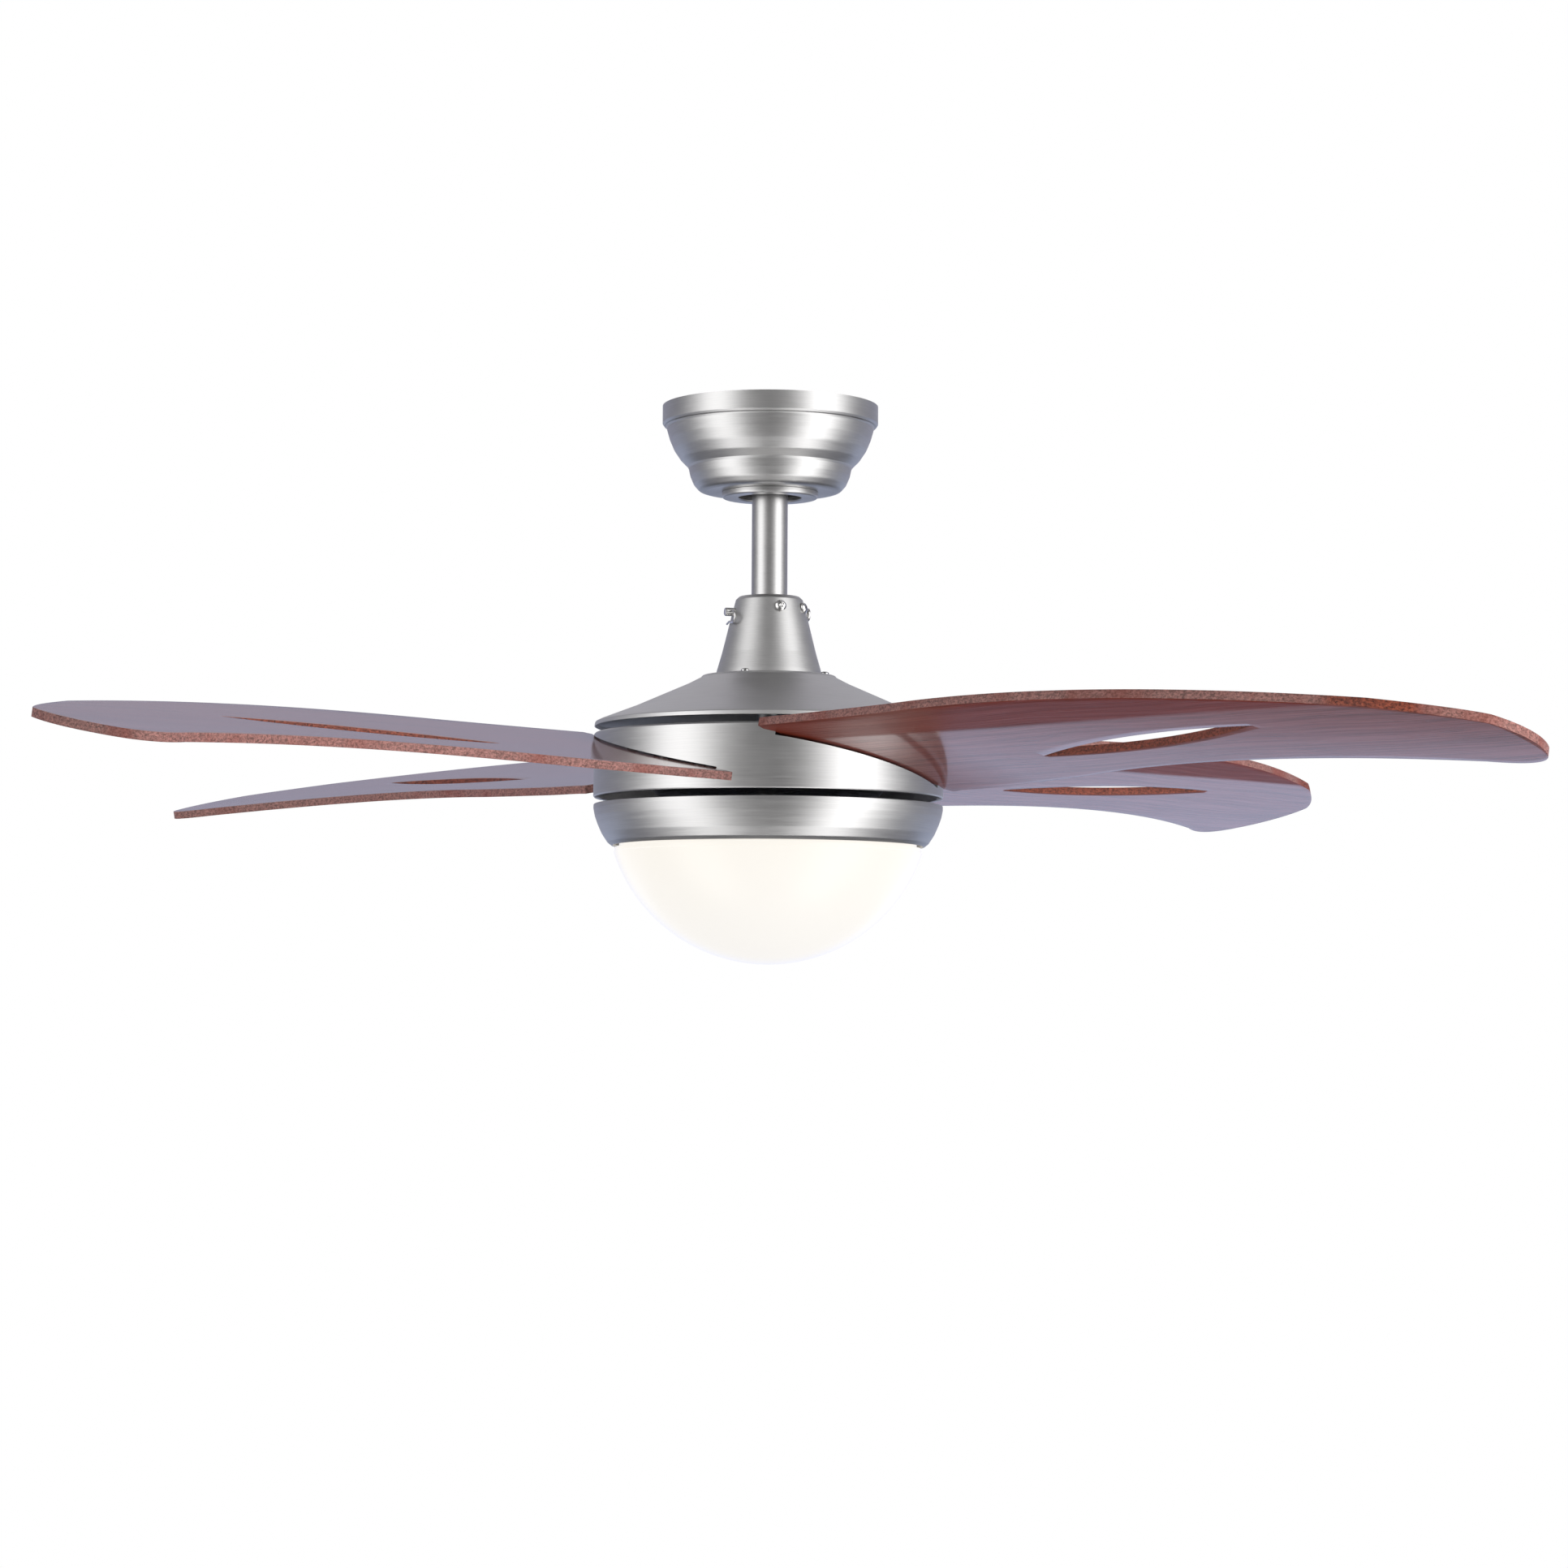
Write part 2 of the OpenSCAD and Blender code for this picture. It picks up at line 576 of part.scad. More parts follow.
// A curved flange on the casing with a pitched plate under the blade's tongue.
module blade_iron(a) {
  color([0.2, 0.2, 0.21]) difference() {
    union() {
      intersection() {
        at_blade(a) camber_layer(-blade_t / 2 - 3, -blade_t / 2);
        rotate([0, 0, a]) translate([0, -52, z_mid - 60]) cube([111, 102, 120]);
        tube(housing_r - 8, motor_r + 2, z_mid - 40, z_mid + 40);
      }
      intersection() {
        rotate([0, 0, a]) translate([60, -30, motor_low + 2]) cube([60, 60, 14]);
        tube(motor_r + 2, motor_r, motor_low + 2, z_mid - 3);
      }
      intersection() {
        rotate([0, 0, a]) translate([60, -30, motor_low + 2]) cube([60, 60, 14]);
        tube(motor_r + 4, motor_r + 2, motor_low + 2, z_mid + 20);
        at_blade(a) camber_layer(-60, -blade_t / 2);
      }
    }
    at_blade(a) for (p = blade_bolts) on_blade(p) translate([0, 0, -20]) cylinder(r = 1.9, h = 40);
    for (s = [-12, 12]) rotate([0, 0, a + s]) translate([70, 0, motor_low + 8]) rotate([0, 90, 0])
      cylinder(r = 1.8, h = 30);
  }
}

module blade_iron_1() { blade_iron(blade_az[0]); }
module blade_iron_2() { blade_iron(blade_az[1]); }
module blade_iron_3() { blade_iron(blade_az[2]); }
module blade_iron_4() { blade_iron(blade_az[3]); }

module iron_screws() {
  color([0.7, 0.7, 0.72]) for (a = blade_az) for (s = [-12, 12])
    rotate([0, 0, a + s]) translate([motor_r + 4, 0, motor_low + 8]) rotate([0, 90, 0])
      pan_screw(3.2, 2, 1.8, 4);
}

module blade_screws() {
  color([0.78, 0.78, 0.8]) for (a = blade_az) at_blade(a) for (p = blade_bolts)
    on_blade(p) translate([0, 0, blade_t / 2 + 1.02]) pan_screw(4, 2.6, 1.9, blade_t + 4);
}

module blade_washers() {
  color([0.1, 0.1, 0.1]) for (a = blade_az) at_blade(a) for (p = blade_bolts)
    on_blade(p) tube(5, 1.9, blade_t / 2 + 0.02, blade_t / 2 + 1.02);
}

// ---------- light kit ----------

module shaft_nut() {
  color([0.7, 0.7, 0.72]) difference() {
    translate([0, 0, z_pan_top - 13]) cylinder(r = 15, h = 7, $fn = 6);
    translate([0, 0, z_pan_top - 20]) cylinder(r = shaft_r, h = 20);
  }
}

module light_plate() {
  color([0.62, 0.63, 0.65]) difference() {
    translate([0, 0, z_pan_top - 6]) cylinder(r = 70, h = 2.5);
    translate([0, 0, z_pan_top - 10]) cylinder(r = shaft_r, h = 20);
    around([30, 150, 270]) translate([58, 0, z_pan_top - 10]) cylinder(r = 1.8, h = 20);
    around([90, 210, 330]) translate([40, 0, z_pan_top - 10]) cylinder(r = 8, h = 20);
  }
}

module light_pan() {
  color([0.72, 0.71, 0.69]) difference() {
    rotate_extrude() polygon([
      [20, z_pan_top - 6], [housing_r - 8, z_pan_top - 6], [housing_r - 3.6, z_pan_top],
      [housing_r - 0.8, z_pan_top], [housing_r - 0.1, z_pan_top - 0.8], [housing_r - 0.2, z_pan_top - 3],
      [housing_r - 1.3, z_pan_top - 8.5], [housing_r - 3.3, z_pan_low + 15.9],
      [housing_r - 5.7, z_pan_low + 10], [housing_r - 9.5, z_pan_low + 4],
      [housing_r - 12.4, z_pan_low + 0.8], [housing_r - 13.8, z_pan_low],
      [housing_r - 14.8, z_pan_low], [housing_r - 14.8, z_pan_low + 1.6],
      [housing_r - 13.4, z_pan_low + 3], [housing_r - 11, z_pan_low + 5],
      [housing_r - 7.2, z_pan_low + 10.8], [housing_r - 4.9, z_pan_low + 16.4],
      [housing_r - 3.2, z_pan_top - 9], [housing_r - 7, z_pan_top - 7.5], [20, z_pan_top - 7.5]]);
    around([30, 150, 270]) translate([58, 0, z_pan_top - 10]) cylinder(r = 1.8, h = 20);
    around([90, 210, 330]) translate([40, 0, z_pan_top - 10]) cylinder(r = 6, h = 20);
  }
}

module pan_screws() {
  color([0.78, 0.78, 0.8]) around([30, 150, 270]) translate([58, 0, z_pan_top - 7.5]) rotate([180, 0, 0])
    pan_screw(3.2, 2, 1.8, 4.5);
}

module reflector() {
  color([0.95, 0.95, 0.94]) difference() {
    translate([0, 0, z_pan_top - 17.5]) cylinder(r = 100, h = 1);
    around([90, 210, 330]) translate([50, 0, z_pan_top - 20]) cylinder(r = 13, h = 10);
    translate([0, 0, z_pan_top - 20]) cylinder(r = 5, h = 10);
  }
}

module lamp_holders() {
  color([0.93, 0.92, 0.88]) around([90, 210, 330]) translate([50, 0, z_pan_top]) difference() {
    tube(13, 10, -34, -7.5);
    translate([-2, 8, -32]) cube([4, 6, 4]);
  }
}

module bulbs() {
  color([1, 0.95, 0.85]) around([90, 210, 330]) translate([50, 0, z_pan_top]) {
    translate([0, 0, -36]) cylinder(r = 9.6, h = 24);
    difference() {
      union() {
        translate([0, 0, -58]) sphere(r = 17);
        translate([0, 0, -50]) cylinder(r1 = 15, r2 = 9.6, h = 14);
      }
      translate([0, 0, -58]) sphere(r = 15.6);
    }
  }
}

// Sits on the pan's plate and carries three inward tabs; the bowl's lugs turn in above them.
module glass_retainer() {
  low = z_lug - 0.3 - 2.2;
  color([0.72, 0.71, 0.69]) {
    tube(neck_r + 6.8, neck_r + 3.2, low, z_pan_top - 7.5);
    around([40, 160, 280]) rotate([0, 0, -8]) rotate_extrude(angle = 16)
      translate([neck_r + 0.6, low]) square([3, 2.2]);
  }
}

module glass_bowl() {
  z_rim = z_pan_low - 4.5;
  color([1, 0.96, 0.88, 0.9]) {
    difference() {
      union() {
        intersection() {
          translate([0, 0, z_bowl]) sphere(r = bowl_r, $fn = 160);
          translate([-150, -150, z_rim - 150]) cube([300, 300, 150]);
        }
        translate([0, 0, z_rim - 2]) cylinder(r = bowl_rim_r - 0.6, h = 5.5);
        translate([0, 0, z_rim]) cylinder(r = neck_r, h = 15);
      }
      intersection() {
        translate([0, 0, z_bowl]) sphere(r = bowl_r - glass_t, $fn = 160);
        translate([-150, -150, z_rim - 150]) cube([300, 300, 150]);
      }
      translate([0, 0, z_rim - 3]) cylinder(r = neck_r - glass_t, h = 30);
    }
    around([40, 160, 280]) rotate([0, 0, -8]) rotate_extrude(angle = 16)
      translate([neck_r - 0.5, z_lug]) square([3.2, 3]);
  }
}

hanger_bracket();
receiver_box();
wire_connectors();
canopy();
canopy_screws();
canopy_ring();
seat_liner();
hanger_ball();
ball_pin();
ball_setscrew();
downrod();
coupling();
clevis_pin();
hairpin_clip();
coupling_screws();
motor_adapter();
adapter_bolts();
top_housing();
flange_screws();
capacitor();
motor_shaft();
bearings();
stator_core();
stator_windings();
rotor_upper();
rotor_lower();
rotor_cage();
rotor_screws();
blade_band();
band_arms();
blade_iron_1();
blade_iron_2();
blade_iron_3();
blade_iron_4();
iron_screws();
blade_1();
blade_2();
blade_3();
blade_4();
blade_screws();
blade_washers();
shaft_nut();
light_plate();
light_pan();
pan_screws();
reflector();
lamp_holders();
bulbs();
glass_retainer();
glass_bowl();
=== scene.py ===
import json
import math

import bmesh
import bpy
from mathutils import Matrix, Vector


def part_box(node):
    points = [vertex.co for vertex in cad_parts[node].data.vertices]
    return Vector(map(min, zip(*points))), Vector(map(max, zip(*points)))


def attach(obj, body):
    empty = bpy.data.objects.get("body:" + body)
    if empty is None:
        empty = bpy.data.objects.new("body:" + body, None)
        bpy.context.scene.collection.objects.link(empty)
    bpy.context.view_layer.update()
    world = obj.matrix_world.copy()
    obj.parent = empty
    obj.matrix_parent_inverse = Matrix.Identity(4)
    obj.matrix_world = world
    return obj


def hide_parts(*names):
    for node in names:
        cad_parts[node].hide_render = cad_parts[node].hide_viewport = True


bl_info = {
    "name": "Ceiling fan with light",
    "version": (1, 0, 0),
    "blender": (4, 5, 0),
    "location": "View3D > Sidebar > Ceiling fan",
    "description": "Turned metal housings, slotted wooden blades and a lit bowl around a ceiling fan's frame",
    "category": "Object",
}

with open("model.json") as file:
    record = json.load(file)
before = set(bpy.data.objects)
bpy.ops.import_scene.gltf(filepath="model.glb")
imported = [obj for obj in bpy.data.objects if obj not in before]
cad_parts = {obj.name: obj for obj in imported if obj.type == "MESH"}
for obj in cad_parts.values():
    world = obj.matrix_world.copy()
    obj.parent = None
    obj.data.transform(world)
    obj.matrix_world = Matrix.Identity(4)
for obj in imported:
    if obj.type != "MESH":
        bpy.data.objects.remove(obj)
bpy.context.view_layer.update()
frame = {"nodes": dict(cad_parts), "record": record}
MM = 0.001


def edge(node, side, axis=2):
    """One face of a frame node's box, in millimetres: side 0 is low and side 1 is high."""
    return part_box(node)[side][axis] / MM


# ---------- sizes that the frame fixes ----------

RIM_R = edge("canopy", 1, 0)
CANOPY_H = -edge("canopy", 0)
Z_PLATE = edge("top_housing", 1)
Z_DOME = edge("top_housing", 0)
Z_BAND_TOP = edge("blade_band", 1)
Z_BAND_LOW = edge("blade_band", 0)
Z_MID = (Z_BAND_TOP + Z_BAND_LOW) / 2
Z_PAN_TOP = edge("light_pan", 1)
Z_PAN_LOW = edge("light_pan", 0)
HOUSING_R = edge("blade_band", 1, 0)
ROD_R = edge("downrod", 1, 0)
Z_YOKE_TOP = edge("coupling", 1)
YOKE_BASE_R = edge("coupling", 1, 0)
Z_BOWL_LOW = edge("glass_bowl", 0)


# ---------- the blade's outline: u runs out along the blade, v across it, leading edge negative ----------

TIP_R = 640.0
REST_TURN = -0.3
CAMBER_R = 6000.0
LEAD_V, LEAD_FROM_TIP, LEAD_ARC_R = 115.5, 340, 610
WAIST_V, WAIST_FROM_TIP, WAIST_ARC_R = 42.5, 255, 520
TIP_V, TIP_ARC_R, TIP_TRIM = 24, 100, 2.15
SLIT_U, SLIT_V = TIP_R - 274, -12.7
SLIT_HALF_L, SLIT_HALF_W = 105.0, 13.0
SLIT_TURN = math.radians(-10)
SLIT_REACH = SLIT_HALF_L * math.cos(SLIT_TURN)


# ---------- settings ----------

class FanBladeSettings(bpy.types.PropertyGroup):
    """Sizes and colours of the wooden blades."""
    thickness: bpy.props.FloatProperty(
        name="Blade thickness", description="Thickness of the plywood blade",
        default=0.006, min=0.003, max=0.008, unit="LENGTH")
    pitch: bpy.props.FloatProperty(
        name="Blade pitch", description="How far the leading edge is tipped up",
        default=math.radians(12), subtype="ANGLE", unit="ROTATION")
    edge_round: bpy.props.FloatProperty(
        name="Edge rounding", description="Radius of the sanded arris round the blade",
        default=0.0009, min=0.0002, max=0.002, unit="LENGTH")
    face_colour: bpy.props.FloatVectorProperty(
        name="Face colour", description="Stained wood between the grain lines",
        default=(0.235, 0.066, 0.052), size=3, subtype="COLOR")
    grain_colour: bpy.props.FloatVectorProperty(
        name="Grain colour", description="Dark pores and grain lines",
        default=(0.060, 0.014, 0.010), size=3, subtype="COLOR")
    edge_colour: bpy.props.FloatVectorProperty(
        name="Edge colour", description="Sanded and stained edge of the plywood",
        default=(0.28, 0.128, 0.110), size=3, subtype="COLOR")
    # Colour of the painted shade under the blades' leading edge, also used for the dark patches on the blade
    # edges
    shade_strip_and_patch_colour: bpy.props.FloatVectorProperty(
        name="Under strip colour", description="Dark band under the leading edge",
        default=(0.190, 0.030, 0.016), size=3, subtype="COLOR")


class FanMetalSettings(bpy.types.PropertyGroup):
    """Colours and brushing of the metal."""
    nickel: bpy.props.FloatVectorProperty(
        name="Nickel colour", description="Brushed nickel plating",
        default=(0.55, 0.545, 0.54), size=3, subtype="COLOR")
    nickel_roughness: bpy.props.FloatProperty(
        name="Nickel roughness", description="Mean roughness of the brushed plating",
        default=0.36, min=0.05, max=0.9, subtype="FACTOR")
    chrome: bpy.props.FloatVectorProperty(
        name="Screw colour", description="Bright plated screws and pins",
        default=(0.74, 0.73, 0.72), size=3, subtype="COLOR")
    brush_depth: bpy.props.FloatProperty(
        name="Brush depth", description="Strength of the brushed lines in the surface",
        default=0.12, min=0.0, max=1.0, subtype="FACTOR")


class FanGlassSettings(bpy.types.PropertyGroup):
    """Colour and glow of the light bowl."""
    glow: bpy.props.FloatVectorProperty(
        name="Glow colour", description="Light that the opal glass gives off",
        default=(1.0, 0.972, 0.918), size=3, subtype="COLOR")
    strength: bpy.props.FloatProperty(
        name="Glow strength", description="Strength of the lit bowl",
        default=0.88, min=0.0, max=5.0)


class FanStageSettings(bpy.types.PropertyGroup):
    """The floor and the lights."""
    floor_colour: bpy.props.FloatVectorProperty(
        name="Floor colour", description="Plain pale floor",
        default=(0.62, 0.62, 0.63), size=3, subtype="COLOR")
    floor_drop: bpy.props.FloatProperty(
        name="Floor depth", description="Distance from the ceiling down to the floor",
        default=2.4, min=1.0, max=4.0, unit="LENGTH")
    key_power: bpy.props.FloatProperty(
        name="Key light power",
        description="Power of the right softbox in watts; the others are a share of it",
        default=40.0, min=0.0, max=2000.0)


SETTINGS = (
    ("fan_blades", FanBladeSettings), ("fan_metal", FanMetalSettings),
    ("fan_glass", FanGlassSettings), ("fan_stage", FanStageSettings),
)


# ---------- making meshes ----------

def clear():
    """Leaves object mode with nothing selected."""
    if bpy.context.object and bpy.context.object.mode != "OBJECT":
        bpy.ops.object.mode_set(mode="OBJECT")
    bpy.ops.object.select_all(action="DESELECT")


def pick(*objs):
    """Selects only these pieces and makes the first one active."""
    clear()
    for obj in objs:
        obj.select_set(True)
    bpy.context.view_layer.objects.active = objs[0]


def put(obj, place):
    """Moves a piece's mesh by a matrix, its object staying at the origin."""
    obj.data.transform(place)
    obj.data.update()


def settle(obj, smooth=30.0):
    """Puts a finished piece's place into its mesh and smooths it by angle."""
    pick(obj)
    bpy.ops.object.transform_apply(location=True, rotation=True, scale=True)
    bpy.ops.object.shade_smooth_by_angle(angle=math.radians(smooth))
    obj.select_set(False)
    return obj


def modify(obj, kind, **values):
    """Adds a modifier with its values and applies it."""
    pick(obj)
    mod = obj.modifiers.new(kind.title(), kind)
    for key, value in values.items():
        setattr(mod, key, value)
    bpy.ops.object.modifier_apply(modifier=mod.name)
    return obj


def rounded(corners):
    """A profile line [(radius, height, fillet), ...] in millimetres with each corner rounded by an arc."""
    line = []
    for i, (r, z, f) in enumerate(corners):
        if f <= 0 or i in (0, len(corners) - 1):
            line.append((r, z))
            continue
        here = Vector((r, z))
        before = Vector(corners[i - 1][:2]) - here
        after = Vector(corners[i + 1][:2]) - here
        turn = before.angle(after, 0.0)
        reach = min(f / math.tan(turn / 2), before.length * 0.45, after.length * 0.45)
        a, b = before.normalized(), after.normalized()
        start, end = here + a * reach, here + b * reach
        line.append(tuple(start + a * min(0.15, reach * 0.1)))
        steps = max(3, min(8, int(math.degrees(math.pi - turn) / 12)))
        for k in range(steps + 1):
            t = k / steps
            line.append(tuple((1 - t) ** 2 * start + 2 * t * (1 - t) * here + t * t * end))
        line.append(tuple(end + b * min(0.15, reach * 0.1)))
    return line


def turned(name, corners, steps=160, closed=True):
    """Spins a profile round the fan's axis: a point is extruded along the line, then spun a full turn."""
    line = rounded(corners)
    clear()
    r0, z0 = line[0]
    bpy.ops.mesh.primitive_plane_add(size=0.001, location=(r0 * MM, 0, z0 * MM))
    obj = bpy.context.object
    obj.name = obj.data.name = name
    bpy.ops.object.transform_apply(location=True, rotation=True, scale=True)
    bpy.ops.object.mode_set(mode="EDIT")
    bpy.ops.mesh.select_all(action="SELECT")
    bpy.ops.mesh.merge(type="CENTER")
    bpy.ops.mesh.select_mode(type="VERT")
    path = line[1:] + ([line[0]] if closed else [])
    was = line[0]
    for r, z in path:
        bpy.ops.mesh.extrude_region_move(
            TRANSFORM_OT_translate={"value": ((r - was[0]) * MM, 0, (z - was[1]) * MM)})
        was = (r, z)
    bpy.ops.mesh.select_all(action="SELECT")
    bpy.ops.mesh.remove_doubles(threshold=1e-7)
    bpy.ops.mesh.select_all(action="SELECT")
    bpy.ops.mesh.spin(steps=steps, dupli=False, angle=2 * math.pi, center=(0, 0, 0), axis=(0, 0, 1))
    bpy.ops.mesh.select_all(action="SELECT")
    bpy.ops.mesh.remove_doubles(threshold=2e-6)
    bpy.ops.mesh.normals_make_consistent(inside=False)
    bpy.ops.object.mode_set(mode="OBJECT")
    return settle(obj)


def finish_piece(obj, body, nodes=(), materials=()):
    """Gives a piece its materials, the body it rides on and the frame nodes it stands for."""
    if materials:
        obj.data.materials.clear()
        for m in materials:
            obj.data.materials.append(m)
    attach(obj, body)
    if nodes:
        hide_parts(*nodes)
    return obj


def copied(obj, name):
    """A copy of a piece with a mesh of its own."""
    pick(obj)
    bpy.ops.object.duplicate(linked=False)
    new = bpy.context.object
    new.name = new.data.name = name
    return new


def joined(objs, name):
    """Joins several finished shapes into one piece."""
    pick(*objs)
    bpy.ops.object.join()
    objs[0].name = objs[0].data.name = name
    return objs[0]


# ---------- node groups and materials ----------

def add(tree, kind, place=(0, 0), **values):
    """A new shader node with some of its properties set."""
    node = tree.nodes.new(kind)
    node.location = place
    for key, value in values.items():
        setattr(node, key, value)
    return node


def maths(tree, op, a, b=None, clamp=False):
    """A Math node fed by sockets or numbers, and its output."""
    node = add(tree, "ShaderNodeMath", operation=op, use_clamp=clamp)
    for i, value in enumerate((a, b)):
        if value is None:
            continue
        if hasattr(value, "is_output"):
            tree.links.new(value, node.inputs[i])
        else:
            node.inputs[i].default_value = value
    return node.outputs[0]


def ranged(tree, value, low, high, to_low, to_high):
    """Maps one range of a value onto another."""
    node = add(tree, "ShaderNodeMapRange")
    tree.links.new(value, node.inputs["Value"])
    for key, number in (("From Min", low), ("From Max", high), ("To Min", to_low), ("To Max", to_high)):
        node.inputs[key].default_value = number
    return node.outputs[0]


def mixed(tree, factor, a, b, blend="MIX"):
    """A colour mix of two sockets or colours."""
    node = add(tree, "ShaderNodeMix", data_type="RGBA", blend_type=blend)
    for socket, value in ((node.inputs[0], factor), (node.inputs[6], a), (node.inputs[7], b)):
        if hasattr(value, "is_output"):
            tree.links.new(value, socket)
        elif isinstance(value, (int, float)):
            socket.default_value = value
        else:
            socket.default_value = (*value[:3], 1.0)
    return node.outputs[2]


def noise(tree, vector, scale, detail=3.0, rough=0.55):
    """Noise on a vector, as a value between 0 and 1."""
    node = add(tree, "ShaderNodeTexNoise", noise_dimensions="3D")
    tree.links.new(vector, node.inputs["Vector"])
    node.inputs["Scale"].default_value = scale
    node.inputs["Detail"].default_value = detail
    node.inputs["Roughness"].default_value = rough
    return node.outputs["Fac"]


def fill_ramp(node, stops):
    """Sets a colour ramp's stops: (place, colour)."""
    ramp = node.color_ramp
    while len(ramp.elements) < len(stops):
        ramp.elements.new(0.5)
    for element, (at, value) in zip(ramp.elements, stops):
        element.position = at
        element.color = (*value, 1.0)


def stretched(tree, vector, scale):
    """A vector scaled along each axis."""
    node = add(tree, "ShaderNodeVectorMath", operation="MULTIPLY")
    tree.links.new(vector, node.inputs[0])
    node.inputs[1].default_value = scale
    return node.outputs[0]


def new_group(name, inputs, outputs):
    """A shader node group with named inputs and outputs."""
    tree = bpy.data.node_groups.new(name, "ShaderNodeTree")
    for label, kind, default in inputs:
        socket = tree.interface.new_socket(label, in_out="INPUT", socket_type=kind)
        if default is not None:
            socket.default_value = default
    for label, kind in outputs:
        tree.interface.new_socket(label, in_out="OUTPUT", socket_type=kind)
    return tree, add(tree, "NodeGroupInput", (-900, 0)), add(tree, "NodeGroupOutput", (700, 0))


def turned_brushing():
    """Fine lines round the fan's axis, as left by a brushing wheel, with broad cloudy variation."""
    name = "Turned brushing"
    if name in bpy.data.node_groups:
        return bpy.data.node_groups[name]
    tree, gin, gout = new_group(name, (
        ("Position", "NodeSocketVector", None), ("Radius share", "NodeSocketFloat", 0.6),
        ("Line scale", "NodeSocketFloat", 1.0)), (
        ("Lines", "NodeSocketFloat"), ("Clouds", "NodeSocketFloat")))
    split = add(tree, "ShaderNodeSeparateXYZ")
    tree.links.new(gin.outputs["Position"], split.inputs[0])
    x2 = maths(tree, "MULTIPLY", split.outputs[0], split.outputs[0])
    y2 = maths(tree, "MULTIPLY", split.outputs[1], split.outputs[1])
    radius = maths(tree, "SQRT", maths(tree, "ADD", x2, y2))
    safe = maths(tree, "MAXIMUM", radius, 0.001)
    across = maths(tree, "SUBTRACT", maths(tree, "MULTIPLY", radius, gin.outputs["Radius share"]),
                   split.outputs[2])
    across = maths(tree, "MULTIPLY", across, gin.outputs["Line scale"])
    lines = add(tree, "ShaderNodeCombineXYZ")
    tree.links.new(maths(tree, "DIVIDE", split.outputs[0], safe), lines.inputs[0])
    tree.links.new(maths(tree, "DIVIDE", split.outputs[1], safe), lines.inputs[1])
    tree.links.new(across, lines.inputs[2])
    fine = noise(tree, stretched(tree, lines.outputs[0], (5.0, 5.0, 3400.0)), 1.0, 2.0, 0.6)
    mid = noise(tree, stretched(tree, lines.outputs[0], (2.2, 2.2, 900.0)), 1.0, 3.0, 0.6)
    both = maths(tree, "ADD", maths(tree, "MULTIPLY", fine, 0.6), maths(tree, "MULTIPLY", mid, 0.4))
    tree.links.new(both, gout.inputs["Lines"])
    tree.links.new(noise(tree, gin.outputs["Position"], 22.0, 4.0, 0.6), gout.inputs["Clouds"])
    return tree


def wood_grain():
    """Long grain lines, short dark pores and slow colour drift along a blade's length."""
    name = "Blade grain"
    if name in bpy.data.node_groups:
        return bpy.data.node_groups[name]
    tree, gin, gout = new_group(name, (
        ("Length and width", "NodeSocketVector", None), ("Pore share", "NodeSocketFloat", 0.5)), (
        ("Grain", "NodeSocketFloat"), ("Pores", "NodeSocketFloat"), ("Drift", "NodeSocketFloat")))
    at = gin.outputs["Length and width"]
    wander = noise(tree, stretched(tree, at, (4.0, 9.0, 4.0)), 1.0, 2.0, 0.5)
    shift = add(tree, "ShaderNodeCombineXYZ")
    tree.links.new(maths(tree, "MULTIPLY", maths(tree, "SUBTRACT", wander, 0.5), 0.035), shift.inputs[1])
    bent = add(tree, "ShaderNodeVectorMath", operation="ADD")
    tree.links.new(at, bent.inputs[0])
    tree.links.new(shift.outputs[0], bent.inputs[1])
    broad = noise(tree, stretched(tree, bent.outputs[0], (2.6, 130.0, 20.0)), 1.0, 4.0, 0.66)
    fine = noise(tree, stretched(tree, bent.outputs[0], (12.0, 760.0, 40.0)), 1.0, 3.0, 0.66)
    grain = maths(tree, "ADD", maths(tree, "MULTIPLY", broad, 0.45), maths(tree, "MULTIPLY", fine, 0.55))
    tree.links.new(ranged(tree, grain, 0.38, 0.60, 0.0, 1.0), gout.inputs["Grain"])
    streak = noise(tree, stretched(tree, bent.outputs[0], (24.0, 900.0, 60.0)), 1.0, 1.0, 0.5)
    field = noise(tree, stretched(tree, at, (9.0, 60.0, 9.0)), 1.0, 2.0, 0.5)
    pores = maths(tree, "MULTIPLY", ranged(tree, streak, 0.60, 0.74, 0.0, 1.0),
                  ranged(tree, field, 0.36, 0.60, 0.0, 1.0))
    tree.links.new(maths(tree, "MULTIPLY", pores, gin.outputs["Pore share"]), gout.inputs["Pores"])
    tree.links.new(noise(tree, stretched(tree, at, (3.0, 14.0, 3.0)), 1.0, 3.0, 0.5),
                   gout.inputs["Drift"])
    return tree


def speckle():
    """Small cloudy variation and fine grit for castings, plastics and sheet metal."""
    name = "Surface speckle"
    if name in bpy.data.node_groups:
        return bpy.data.node_groups[name]
    tree, gin, gout = new_group(name, (
        ("Position", "NodeSocketVector", None), ("Grit size", "NodeSocketFloat", 900.0)), (
        ("Clouds", "NodeSocketFloat"), ("Grit", "NodeSocketFloat")))
    tree.links.new(noise(tree, gin.outputs["Position"], 38.0, 4.0, 0.6), gout.inputs["Clouds"])
    grit = add(tree, "ShaderNodeTexNoise")
    tree.links.new(gin.outputs["Position"], grit.inputs["Vector"])
    tree.links.new(gin.outputs["Grit size"], grit.inputs["Scale"])
    grit.inputs["Detail"].default_value = 2.0
    tree.links.new(grit.outputs["Fac"], gout.inputs["Grit"])
    return tree


def new_material(name):
    """A material with one Principled BSDF, and its tree, shader and position output."""
    mat = bpy.data.materials.new(name)
    mat.use_nodes = True
    tree = mat.node_tree
    shader = tree.nodes["Principled BSDF"]
    where = add(tree, "ShaderNodeTexCoord", (-900, 200))
    return mat, tree, shader, where


def placed(tree, group, **values):
    """A group placed in a material with its own values."""
    node = add(tree, "ShaderNodeGroup", (-600, 0))
    node.node_tree = group
    for key, value in values.items():
        node.inputs[key.replace("_", " ")].default_value = value
    return node


